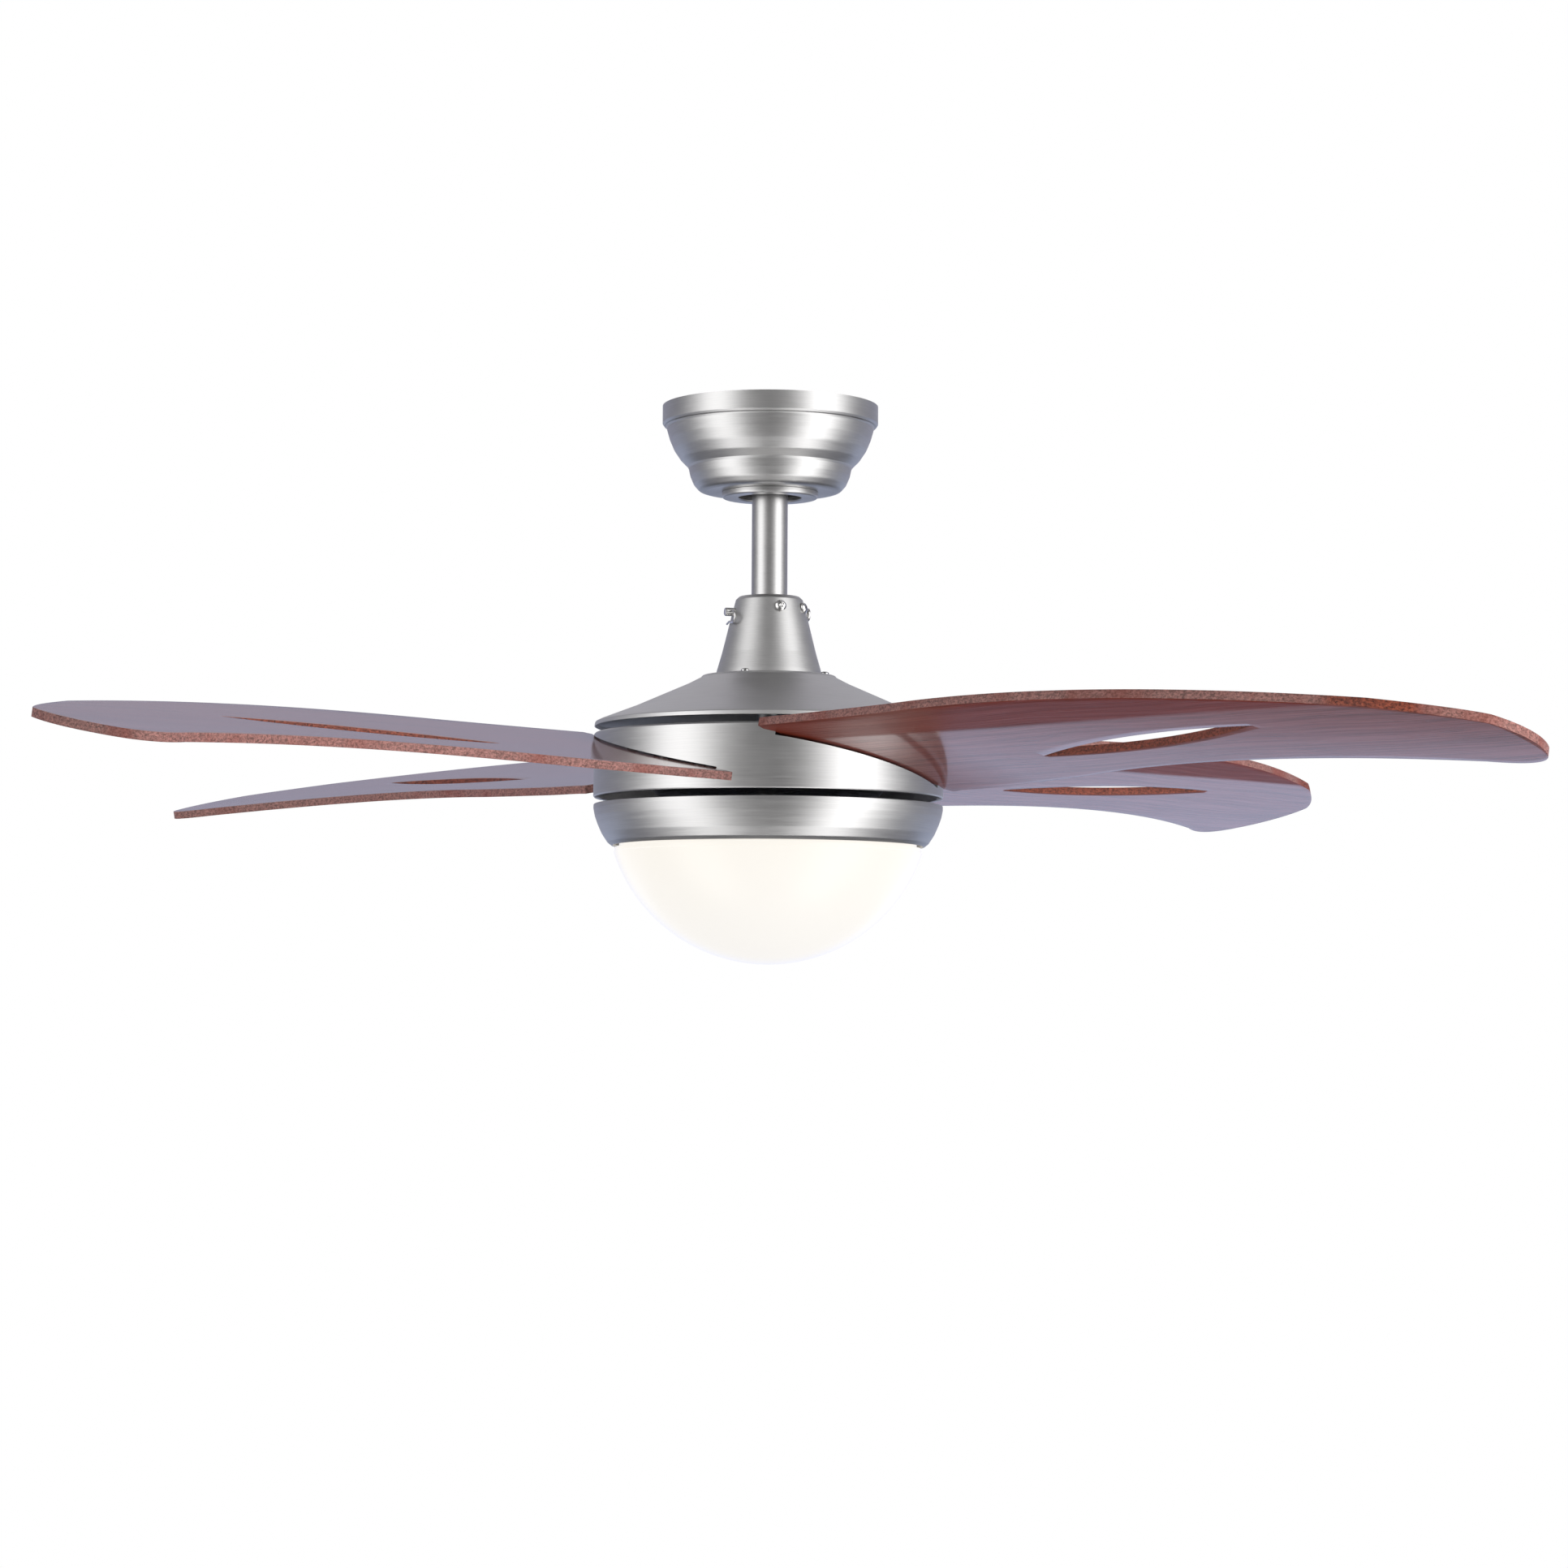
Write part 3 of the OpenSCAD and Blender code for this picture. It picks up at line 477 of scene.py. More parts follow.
def bumped(tree, shader, height, strength, distance):
    """Feeds a height into the shader's normal."""
    bump = add(tree, "ShaderNodeBump", (-200, -300))
    bump.inputs["Strength"].default_value = strength
    bump.inputs["Distance"].default_value = distance
    tree.links.new(height, bump.inputs["Height"])
    tree.links.new(bump.outputs["Normal"], shader.inputs["Normal"])


def nickel(name, share, line_scale=1.0, painted_light_tint=1.0, rough_shift=0.0):
    """Brushed nickel with lines round the axis; share says how far the lines follow the radius, and the
    brightness factor paints a part's copy lighter or darker as painted light.
    """
    look = bpy.context.scene.fan_metal
    mat, tree, shader, where = new_material(name)
    brush = placed(tree, turned_brushing(), Radius_share=share, Line_scale=line_scale)
    tree.links.new(where.outputs["Object"], brush.inputs["Position"])
    # Painted light: this factor makes the part's copy of the nickel lighter or darker than the plain colour
    base = [c * painted_light_tint for c in look.nickel]
    dark = [c * 0.86 for c in base]
    light = [min(1.0, c * 1.10) for c in base]
    tone = maths(tree, "ADD", maths(tree, "MULTIPLY", brush.outputs["Lines"], 0.75),
                 maths(tree, "MULTIPLY", brush.outputs["Clouds"], 0.25))
    tree.links.new(mixed(tree, ranged(tree, tone, 0.3, 0.7, 0.0, 1.0), dark, light),
                   shader.inputs["Base Color"])
    rough = look.nickel_roughness + rough_shift
    tree.links.new(ranged(tree, tone, 0.3, 0.7, rough - 0.05, rough + 0.05), shader.inputs["Roughness"])
    shader.inputs["Metallic"].default_value = 1.0
    shader.inputs["Anisotropic"].default_value = 0.55
    around = add(tree, "ShaderNodeTangent", direction_type="RADIAL", axis="Z")
    tree.links.new(around.outputs[0], shader.inputs["Tangent"])
    bumped(tree, shader, brush.outputs["Lines"], look.brush_depth, 0.0004)
    return mat


def plain_metal(name, colour, rough, grit=900.0, bump=0.05, spread=0.08):
    """Unbrushed metal with cloudy tone and fine grit."""
    mat, tree, shader, where = new_material(name)
    mark = placed(tree, speckle(), Grit_size=grit)
    tree.links.new(where.outputs["Object"], mark.inputs["Position"])
    dark = [c * 0.8 for c in colour]
    tree.links.new(mixed(tree, mark.outputs["Clouds"], dark, colour), shader.inputs["Base Color"])
    tree.links.new(ranged(tree, mark.outputs["Clouds"], 0.3, 0.7, rough - spread, rough + spread),
                   shader.inputs["Roughness"])
    shader.inputs["Metallic"].default_value = 1.0
    bumped(tree, shader, mark.outputs["Grit"], bump, 0.0003)
    return mat


def plain_plastic(name, colour, rough, grit=1400.0, bump=0.08):
    """Moulded plastic, paint or rubber with a fine texture."""
    mat, tree, shader, where = new_material(name)
    mark = placed(tree, speckle(), Grit_size=grit)
    tree.links.new(where.outputs["Object"], mark.inputs["Position"])
    dark = [c * 0.82 for c in colour]
    tree.links.new(mixed(tree, mark.outputs["Clouds"], dark, colour), shader.inputs["Base Color"])
    tree.links.new(ranged(tree, mark.outputs["Grit"], 0.2, 0.8, rough - 0.06, rough + 0.06),
                   shader.inputs["Roughness"])
    bumped(tree, shader, mark.outputs["Grit"], bump, 0.0003)
    return mat


def blade_face_material():
    """Stained, lacquered wood with lengthwise grain, and a band of painted shade under the leading edge."""
    look = bpy.context.scene.fan_blades
    mat, tree, shader, where = new_material("blade_face")
    uv = where.outputs["UV"]
    grain = placed(tree, wood_grain(), Pore_share=1.0)
    tree.links.new(uv, grain.inputs["Length and width"])
    face = mixed(tree, grain.outputs["Grain"], [c * 1.25 for c in look.face_colour],
                 [c * 0.42 for c in look.face_colour])
    face = mixed(tree, ranged(tree, grain.outputs["Drift"], 0.35, 0.65, 0.0, 0.35), face,
                 [look.face_colour[0] * 1.35, look.face_colour[1] * 1.0, look.face_colour[2] * 0.9])
    face = mixed(tree, grain.outputs["Pores"], face, look.grain_colour)
    split = add(tree, "ShaderNodeSeparateXYZ")
    tree.links.new(uv, split.inputs[0])
    # Painted shade: a darker band along the underside of the leading edge, where the coat is also thinned
    strip = ranged(tree, maths(tree, "ADD", split.outputs[1],
                               maths(tree, "MULTIPLY", maths(tree, "SUBTRACT", grain.outputs["Drift"], 0.5),
                                     0.012)), -0.060, -0.066, 0.0, 1.0)
    geo = add(tree, "ShaderNodeNewGeometry")
    up = add(tree, "ShaderNodeSeparateXYZ")
    tree.links.new(geo.outputs["Normal"], up.inputs[0])
    under = ranged(tree, up.outputs[2], -0.1, -0.3, 0.0, 1.0)
    band = maths(tree, "MULTIPLY", strip, under, clamp=True)
    dark = mixed(tree, grain.outputs["Grain"], [c * 1.2 for c in look.shade_strip_and_patch_colour],
                 [c * 0.7 for c in look.shade_strip_and_patch_colour])
    tree.links.new(mixed(tree, band, face, dark), shader.inputs["Base Color"])
    rough = ranged(tree, grain.outputs["Grain"], 0.0, 1.0, 0.30, 0.40)
    tree.links.new(rough, shader.inputs["Roughness"])
    shader.inputs["Specular IOR Level"].default_value = 0.1
    shader.inputs["Coat Roughness"].default_value = 0.09
    shader.inputs["Coat IOR"].default_value = 1.5
    rooty = maths(tree, "MULTIPLY", under, ranged(tree, split.outputs[0], 0.13, 0.21, 0.62, 0.0))
    thin_coat = maths(tree, "MAXIMUM", band, rooty)
    tree.links.new(ranged(tree, thin_coat, 0.0, 1.0, 0.92, 0.03), shader.inputs["Coat Weight"])
    height = maths(tree, "SUBTRACT", maths(tree, "MULTIPLY", grain.outputs["Grain"], -0.35),
                   grain.outputs["Pores"])
    bumped(tree, shader, height, 0.42, 0.0006)
    return mat


def blade_edge_material():
    """Sawn and stained ply edge: speckled end grain, darker and redder inside the slit."""
    look = bpy.context.scene.fan_blades
    mat, tree, shader, where = new_material("blade_edge")
    at = where.outputs["Object"]
    grit = noise(tree, at, 900.0, 3.0, 0.75)
    flecks = noise(tree, stretched(tree, at, (420.0, 420.0, 700.0)), 1.0, 2.0, 0.65)
    patches = noise(tree, at, 21.0, 3.0, 0.6)
    tone = maths(tree, "ADD", maths(tree, "MULTIPLY", grit, 0.5), maths(tree, "MULTIPLY", flecks, 0.5))
    colour = mixed(tree, ranged(tree, tone, 0.40, 0.60, 0.0, 1.0), [c * 0.40 for c in look.edge_colour],
                   [min(1.0, c * 1.30) for c in look.edge_colour])
    colour = mixed(tree, ranged(tree, patches, 0.50, 0.72, 0.0, 0.8), colour, look.shade_strip_and_patch_colour)
    split = add(tree, "ShaderNodeSeparateXYZ")
    tree.links.new(where.outputs["UV"], split.inputs[0])
    along = maths(tree, "SUBTRACT", split.outputs[0], SLIT_U * MM)
    off = maths(tree, "ADD", maths(tree, "ADD", split.outputs[1], -SLIT_V * MM),
                maths(tree, "MULTIPLY", along, math.tan(-SLIT_TURN)))
    inner = ranged(tree, maths(tree, "ABSOLUTE", off), 0.016, 0.022, 1.0, 0.0)
    # The slit's walls are coloured darker and redder
    slit_wall_colour = mixed(tree, ranged(tree, tone, 0.40, 0.60, 0.0, 1.0), (0.050, 0.008, 0.004), (0.30, 0.070, 0.036))
    tree.links.new(mixed(tree, inner, colour, slit_wall_colour), shader.inputs["Base Color"])
    tree.links.new(ranged(tree, tone, 0.3, 0.7, 0.62, 0.42), shader.inputs["Roughness"])
    shader.inputs["Specular IOR Level"].default_value = 0.45
    bumped(tree, shader, tone, 0.8, 0.0009)
    return mat


def bowl_material():
    """Lit opal glass: a soft even glow, a little warmer towards the metal rim, with a painted bluish
    reflection where the bowl is seen edge-on.
    """
    look = bpy.context.scene.fan_glass
    mat, tree, shader, where = new_material("opal_glass")
    split = add(tree, "ShaderNodeSeparateXYZ")
    tree.links.new(where.outputs["Object"], split.inputs[0])
    depth = ranged(tree, split.outputs[2], Z_PAN_LOW * MM, Z_BOWL_LOW * MM, 0.0, 1.0)
    cloud = noise(tree, where.outputs["Object"], 14.0, 3.0, 0.5)
    warm = [look.glow[0], look.glow[1] * 0.985, look.glow[2] * 0.955]
    cool = [look.glow[0] * 0.975, look.glow[1] * 0.975, look.glow[2] * 0.99]
    blend = maths(tree, "ADD", depth, maths(tree, "MULTIPLY", maths(tree, "SUBTRACT", cloud, 0.5), 0.06),
                  clamp=True)
    # Painted reflection: the glow is dimmed and turned bluish where the bowl is seen edge-on
    rim = add(tree, "ShaderNodeLayerWeight")
    rim.inputs["Blend"].default_value = 0.5
    glow = mixed(tree, blend, warm, cool)
    glow = mixed(tree, ranged(tree, rim.outputs["Facing"], 0.72, 0.98, 0.0, 1.0), glow,
                 [look.glow[0] * 0.80, look.glow[1] * 0.82, look.glow[2] * 0.91])
    tree.links.new(glow, shader.inputs["Emission Color"])
    shader.inputs["Emission Strength"].default_value = look.strength
    tree.links.new(mixed(tree, cloud, (0.10, 0.099, 0.096), (0.12, 0.119, 0.116)),
                   shader.inputs["Base Color"])
    tree.links.new(ranged(tree, cloud, 0.3, 0.7, 0.32, 0.38), shader.inputs["Roughness"])
    shader.inputs["Specular IOR Level"].default_value = 0.35
    shader.inputs["Subsurface Weight"].default_value = 0.25
    shader.inputs["Subsurface Radius"].default_value = (0.012, 0.011, 0.010)
    bumped(tree, shader, cloud, 0.02, 0.001)
    return mat


# ---------- pieces ----------

class FAN_OT_canopy(bpy.types.Operator):
    """Adds the spun ceiling canopy and its trim ring."""
    bl_idname = "fan.canopy"
    bl_label = "Canopy and trim ring"
    bl_options = {"REGISTER", "UNDO"}

    def execute(self, context):
        r, h, t = RIM_R, CANOPY_H, 1.2
        outer = [
            (r, -0.3, 0.4), (r, -13.2, 0.7), (r - 1.2, -14.8, 0.6), (r - 2.9, -15.5, 0.7),
            (r - 3.5, -18.5, 4), (r - 5.4, -25, 12), (r - 8.6, -32.5, 12), (r - 13.4, -39.6, 8),
            (r - 18.6, 18.6 - h, 1.0), (r - 19.4, 17.0 - h, 0.9), (r - 20.6, 11.5 - h, 8),
            (r - 23.2, 5.4 - h, 6), (r - 27.2, 0.9 - h, 5), (r - 32, -h + 0.05, 2), (24.4, -h + 0.05, 0)]
        inner = [
            (24.4, t - h, 0), (r - 29, t - h, 2), (r - 24.8, 6 - h, 4), (r - 20.4, 19 - h, 2),
            (r - 13.8, 25.8 - h, 6), (r - 5.5, -21, 6), (r - t, -13, 2), (r - t, -0.3, 0.3)]
        shell = turned("spun_canopy", outer + inner)
        metal = nickel("nickel_canopy", 0.25)
        finish_piece(shell, "ceiling_mount", ("canopy",), (metal,))
        hole, rim = 23.2, edge("canopy_ring", 1, 0) - 0.05
        ring = turned("canopy_trim_ring", [
            (hole, -h - 0.4, 0.5), (hole, -h - 4.4, 1.2), (rim, -h - 4.4, 1.8), (rim, -h, 0.3),
            (rim - 1, -h, 0.3), (rim - 1, -h - 2.6, 0.4), (26, -h - 2.6, 0.4), (26, -h - 0.4, 0.3)], 128)
        finish_piece(ring, "ceiling_mount", ("canopy_ring",), (nickel("nickel_ring", 0.9),))
        return {"FINISHED"}


class FAN_OT_rod(bpy.types.Operator):
    """Adds the downrod, the cone coupling, the clevis pin, its hairpin and the coupling's screws."""
    bl_idname = "fan.rod"
    bl_label = "Downrod and coupling"
    bl_options = {"REGISTER", "UNDO"}

    def execute(self, context):
        high, low = edge("downrod", 1), edge("downrod", 0)
        rod = turned("rod_tube", [
            (ROD_R, high - 0.1, 0.4), (ROD_R, (high + low) / 2, 0), (ROD_R, low + 0.1, 0.4),
            (ROD_R - 2.2, low + 0.1, 0.3), (ROD_R - 2.2, high - 0.1, 0.3)], 96)
        finish_piece(rod, "hanging", ("downrod",), (nickel("nickel_rod", 0.0, 0.8),))
        z, base = Z_YOKE_TOP, YOKE_BASE_R
        cone = turned("cone_coupling", [
            (ROD_R + 0.35, z - 1.2, 0), (ROD_R + 1.1, z - 0.05, 0.6), (22, z - 0.05, 1.5),
            (24.5, z - 2.4, 1.6), (28.3, z - 17, 20), (31.5, z - 30, 20), (34.5, z - 42, 20),
            (base - 0.9, z - 54.5, 6), (base - 0.05, Z_PLATE + 0.3, 0.5), (base - 5, Z_PLATE + 0.1, 0.5),
            (base - 8, Z_PLATE + 16, 1), (ROD_R + 0.35, Z_PLATE + 18, 0.3)], 144)
        # Painted shade: the cone's nickel is painted 2 % darker
        finish_piece(cone, "hanging", ("coupling",),
                     (nickel("nickel_cone", 0.25, 1.0, 0.98, 0.05),))
        chrome = plain_metal("fastener_bright", context.scene.fan_metal.chrome, 0.2, 1500.0, 0.04, 0.05)
        self.pins(chrome)
        return {"FINISHED"}

    def pins(self, chrome):
        """The clevis pin across the coupling with its hairpin, and the two pan-head screws."""
        pin_drop, pin_turn, screw_drop, screw_turns, screw_tilt = 12, 197, 9, (288, 339), 75.5
        place = (Matrix.Translation((0, 0, (Z_YOKE_TOP - pin_drop) * MM))
                 @ Matrix.Rotation(math.radians(pin_turn), 4, "Z")
                 @ Matrix.Rotation(math.radians(90), 4, "Y"))
        pin = turned("coupling_pin", [
            (0, -30.4, 0), (4.9, -30.4, 1.2), (4.9, -28.4, 0.4), (3.1, -28.3, 0.3), (3.1, 33.9, 0.9),
            (0, 33.9, 0)], 40, closed=False)
        put(pin, place)
        finish_piece(pin, "hanging", ("clevis_pin",), (chrome,))
        loop_r = 4.2
        points = [(0, -12), (0, -4), (0, 4), (0, 9.5)]
        for a in range(15, 180, 15):
            turn = math.radians(a)
            points.append((loop_r - loop_r * math.cos(turn), 9.8 + loop_r * math.sin(turn)))
        points += [(8.4, 9.5), (8.1, 4.5), (6.9, 1), (7.6, -2.2), (8.4, -5.8)]
        clear()
        bpy.ops.curve.primitive_nurbs_path_add(radius=0.01, location=(0, 0, 0))
        wire = bpy.context.object
        spline = wire.data.splines[0]
        spline.points.add(len(points) - len(spline.points))
        for p, (x, y) in zip(spline.points, points):
            p.co = (x * MM, 0, y * MM, 1.0)
        spline.order_u = 3
        spline.resolution_u = 4
        spline.use_endpoint_u = True
        wire.data.bevel_depth = 0.00072
        wire.data.bevel_resolution = 4
        wire.data.use_fill_caps = True
        pick(wire)
        bpy.ops.object.convert(target="MESH")
        wire = bpy.context.object
        wire.name = wire.data.name = "hairpin_wire"
        through = Matrix.Translation((0, 0, 30.5 * MM)) @ Matrix.Rotation(math.radians(-90), 4, "X")
        put(wire, place @ through)
        settle(wire, 40)
        finish_piece(wire, "hanging", ("hairpin_clip",), (chrome,))
        heads = []
        for n, a in enumerate(screw_turns):
            head = cross_screw(f"cone_screw_{n + 1}", 4.15, 2.9, 2.3, 11)
            put(head, Matrix.Rotation(math.radians(a), 4, "Z")
                @ Matrix.Translation((26.2 * MM, 0, (Z_YOKE_TOP - screw_drop) * MM))
                @ Matrix.Rotation(math.radians(screw_tilt), 4, "Y"))
            heads.append(head)
        finish_piece(joined(heads, "cone_screws"), "hanging", ("coupling_screws",),
                     (chrome,))


def cross_screw(name, head_r, head_h, shank_r, shank_l):
    """A domed screw standing along +Z with a cross recess in its head, in millimetres."""
    screw = turned(name, [
        (0, -shank_l + 0.05, 0), (shank_r, -shank_l + 0.05, 0.3), (shank_r, 0, 0.1),
        (head_r - 0.02, 0.02, 0.25), (head_r - 0.02, head_h * 0.45, head_h * 0.2),
        (head_r * 0.68, head_h * 0.9, head_h * 0.35), (head_r * 0.3, head_h - 0.02, 0.4),
        (0, head_h - 0.02, 0)], 40, closed=False)
    for q in (0.35, 0.35 + math.pi / 2):
        clear()
        bpy.ops.mesh.primitive_cube_add(size=1)
        bar = bpy.context.object
        bar.scale = (head_r * MM, head_r * 0.24 * MM, head_h * 0.6 * MM)
        bar.rotation_euler = (0, 0, q)
        bar.location = (0, 0, head_h * 0.85 * MM)
        bpy.ops.object.transform_apply(location=True, rotation=True, scale=True)
        modify(screw, "BOOLEAN", operation="DIFFERENCE", object=bar, solver="EXACT")
        bpy.data.objects.remove(bar)
    return settle(screw, 35)


class FAN_OT_housing(bpy.types.Operator):
    """Adds the shallow spun cone over the motor and its flange screws."""
    bl_idname = "fan.housing"
    bl_label = "Motor housing"
    bl_options = {"REGISTER", "UNDO"}

    def execute(self, context):
        r = 50.0
        wide = HOUSING_R
        dome = turned("dome_shell", [
            (20.2, Z_PLATE - 0.05, 0), (r - 1.4, Z_PLATE - 0.05, 0.9), (r - 0.05, Z_PLATE - 1.6, 0.8),
            (r + 9.4, Z_PLATE - 6.5, 4), (wide - 29.5, Z_DOME + 14.5, 30), (wide - 4.5, Z_DOME + 4.9, 1.5),
            (wide - 1.0, Z_DOME + 3.2, 1.3), (wide - 0.5, Z_DOME + 0.1, 0.4), (wide - 1.8, Z_DOME + 0.1, 0.4),
            (wide - 2.6, Z_DOME + 2.4, 1), (wide - 30, Z_DOME + 13, 10), (r + 9, Z_PLATE - 8, 4),
            (r - 1, Z_PLATE - 1.5, 1), (20.2, Z_PLATE - 1.5, 0)], 192)
        # Painted light: the dome's nickel is painted 15 % brighter
        finish_piece(dome, "hanging", ("top_housing",),
                     (nickel("nickel_dome", 1.0, 1.0, 1.15, 0.06),))
        chrome = bpy.data.materials["fastener_bright"]
        heads = []
        for n, a in enumerate((67, 157, 247, 337)):
            head = cross_screw(f"dome_screw_{n + 1}", 3.15, 2.15, 1.7, 6)
            put(head, Matrix.Rotation(math.radians(a), 4, "Z")
                @ Matrix.Translation((44 * MM, 0, (Z_PLATE + 0.02) * MM)))
            heads.append(head)
        finish_piece(joined(heads, "dome_screws"), "hanging", ("flange_screws",), (chrome,))
        return {"FINISHED"}


class FAN_OT_band(bpy.types.Operator):
    """Adds the turning band, with a pitched slot for each blade cut through it."""
    bl_idname = "fan.band"
    bl_label = "Turning band"
    bl_options = {"REGISTER", "UNDO"}

    def execute(self, context):
        wide, top, low = HOUSING_R - 0.03, Z_BAND_TOP - 0.05, Z_BAND_LOW + 0.05
        band = turned("turning_band", [
            (wide - 5, top, 0.3), (wide - 1.2, top, 0.9), (wide, top - 1.5, 1.0), (wide, (top + low) / 2, 0),
            (wide, low + 1.0, 0.8), (wide - 0.7, low, 0.5), (wide - 5, low, 0.3), (wide - 5, low + 1.5, 0.3),
            (wide - 1.5, low + 1.5, 0.6), (wide - 1.5, top - 1.5, 0.6), (wide - 5, top - 1.5, 0.3)], 240)
        pitch = context.scene.fan_blades.pitch
        near, far, slot_half = 60, 150, 4.45
        lead, trail = math.tan(math.radians(-43)), math.tan(math.radians(29))
        for k in range(4):
            clear()
            bpy.ops.mesh.primitive_cube_add(size=2)
            wedge = bpy.context.object
            for v in wedge.data.vertices:
                r = near if v.co.x < 0 else far
                share = lead if v.co.y < 0 else trail
                v.co = Vector((r * MM, r * share * MM, v.co.z * slot_half * MM))
            put(wedge, Matrix.Translation((0, 0, Z_MID * MM))
                @ Matrix.Rotation(math.radians(45 + 90 * k + REST_TURN), 4, "Z")
                @ Matrix.Rotation(-pitch, 4, "X"))
            modify(band, "BOOLEAN", operation="DIFFERENCE", object=wedge, solver="EXACT")
            bpy.data.objects.remove(wedge)
        fewest_faces = 1000
        if len(band.data.polygons) < fewest_faces:
            raise RuntimeError("the band lost its shell when its slots were cut")
        settle(band)
        # Painted light: the band's nickel is painted 3 % brighter
        finish_piece(band, "rotor", ("blade_band",), (nickel("nickel_band", 0.0, 0.7, 1.03),))
        return {"FINISHED"}


# ---------- drawing the blade ----------

def bend(a, b, c, n):
    """Points along a curve from a to c that leaves towards b."""
    line = []
    for i in range(n + 1):
        t = i / n
        line.append(((1 - t) ** 2 * a[0] + 2 * t * (1 - t) * b[0] + t * t * c[0],
                     (1 - t) ** 2 * a[1] + 2 * t * (1 - t) * b[1] + t * t * c[1]))
    return line


def lead_edge(u):
    """The bulging leading edge."""
    return -LEAD_V + (u - (TIP_R - LEAD_FROM_TIP)) ** 2 / (2 * LEAD_ARC_R)


def waist_edge(u):
    """The trailing edge, hollowed to a waist."""
    return WAIST_V + (u - (TIP_R - WAIST_FROM_TIP)) ** 2 / (2 * WAIST_ARC_R)


def tip_edge(v):
    """The tip's round end, trimmed to stay inside the frame's box."""
    return TIP_R - TIP_ARC_R - TIP_TRIM + math.sqrt(TIP_ARC_R ** 2 - (v - TIP_V) ** 2)


def root_point(out, q):
    """A point some millimetres outside the band, q degrees round from the blade's length."""
    return polar(HOUSING_R + out, q)


def spaced(line, count):
    """The same line, walked in equal steps."""
    total = [0.0]
    for a, b in zip(line, line[1:]):
        total.append(total[-1] + math.dist(a, b))
    out, k = [], 0
    for i in range(count + 1):
        want = total[-1] * i / count
        while k < len(line) - 2 and total[k + 1] < want:
            k += 1
        span = max(total[k + 1] - total[k], 1e-9)
        t = (want - total[k]) / span
        out.append(tuple(p + (q - p) * t for p, q in zip(line[k], line[k + 1])))
    return out


def chained(*parts):
    """Lists of points joined end to end without repeats."""
    out = list(parts[0])
    for part in parts[1:]:
        out += part[1:]
    return out


def polar(r, q):
    """A point at radius r, q degrees round from the blade's length."""
    return (r * math.cos(math.radians(q)), r * math.sin(math.radians(q)))


def slit_sides(u):
    """The slit's two sides at one distance along the blade: its leading side and its trailing side.

    Each side is an arc in the slit's own turned axes, so its place along them is found in a few passes."""
    arc = (SLIT_HALF_L ** 2 + SLIT_HALF_W ** 2) / (2 * SLIT_HALF_W)
    sides = []
    for sign in (-1, 1):
        x = (u - SLIT_U) / math.cos(SLIT_TURN)
        for _ in range(8):
            x_in = max(-SLIT_HALF_L, min(SLIT_HALF_L, x))
            y = sign * (SLIT_HALF_W - arc + math.sqrt(arc * arc - x_in * x_in))
            x = (u - SLIT_U + y * math.sin(SLIT_TURN)) / math.cos(SLIT_TURN)
        sides.append(SLIT_V + x_in * math.sin(SLIT_TURN) + y * math.cos(SLIT_TURN))
    return sides


def edge_points(side, start, end, count):
    """Points along one edge of the blade at even distances out."""
    places = [start + (end - start) * i / count for i in range(count + 1)]
    return [(u, side(u)) for u in places]


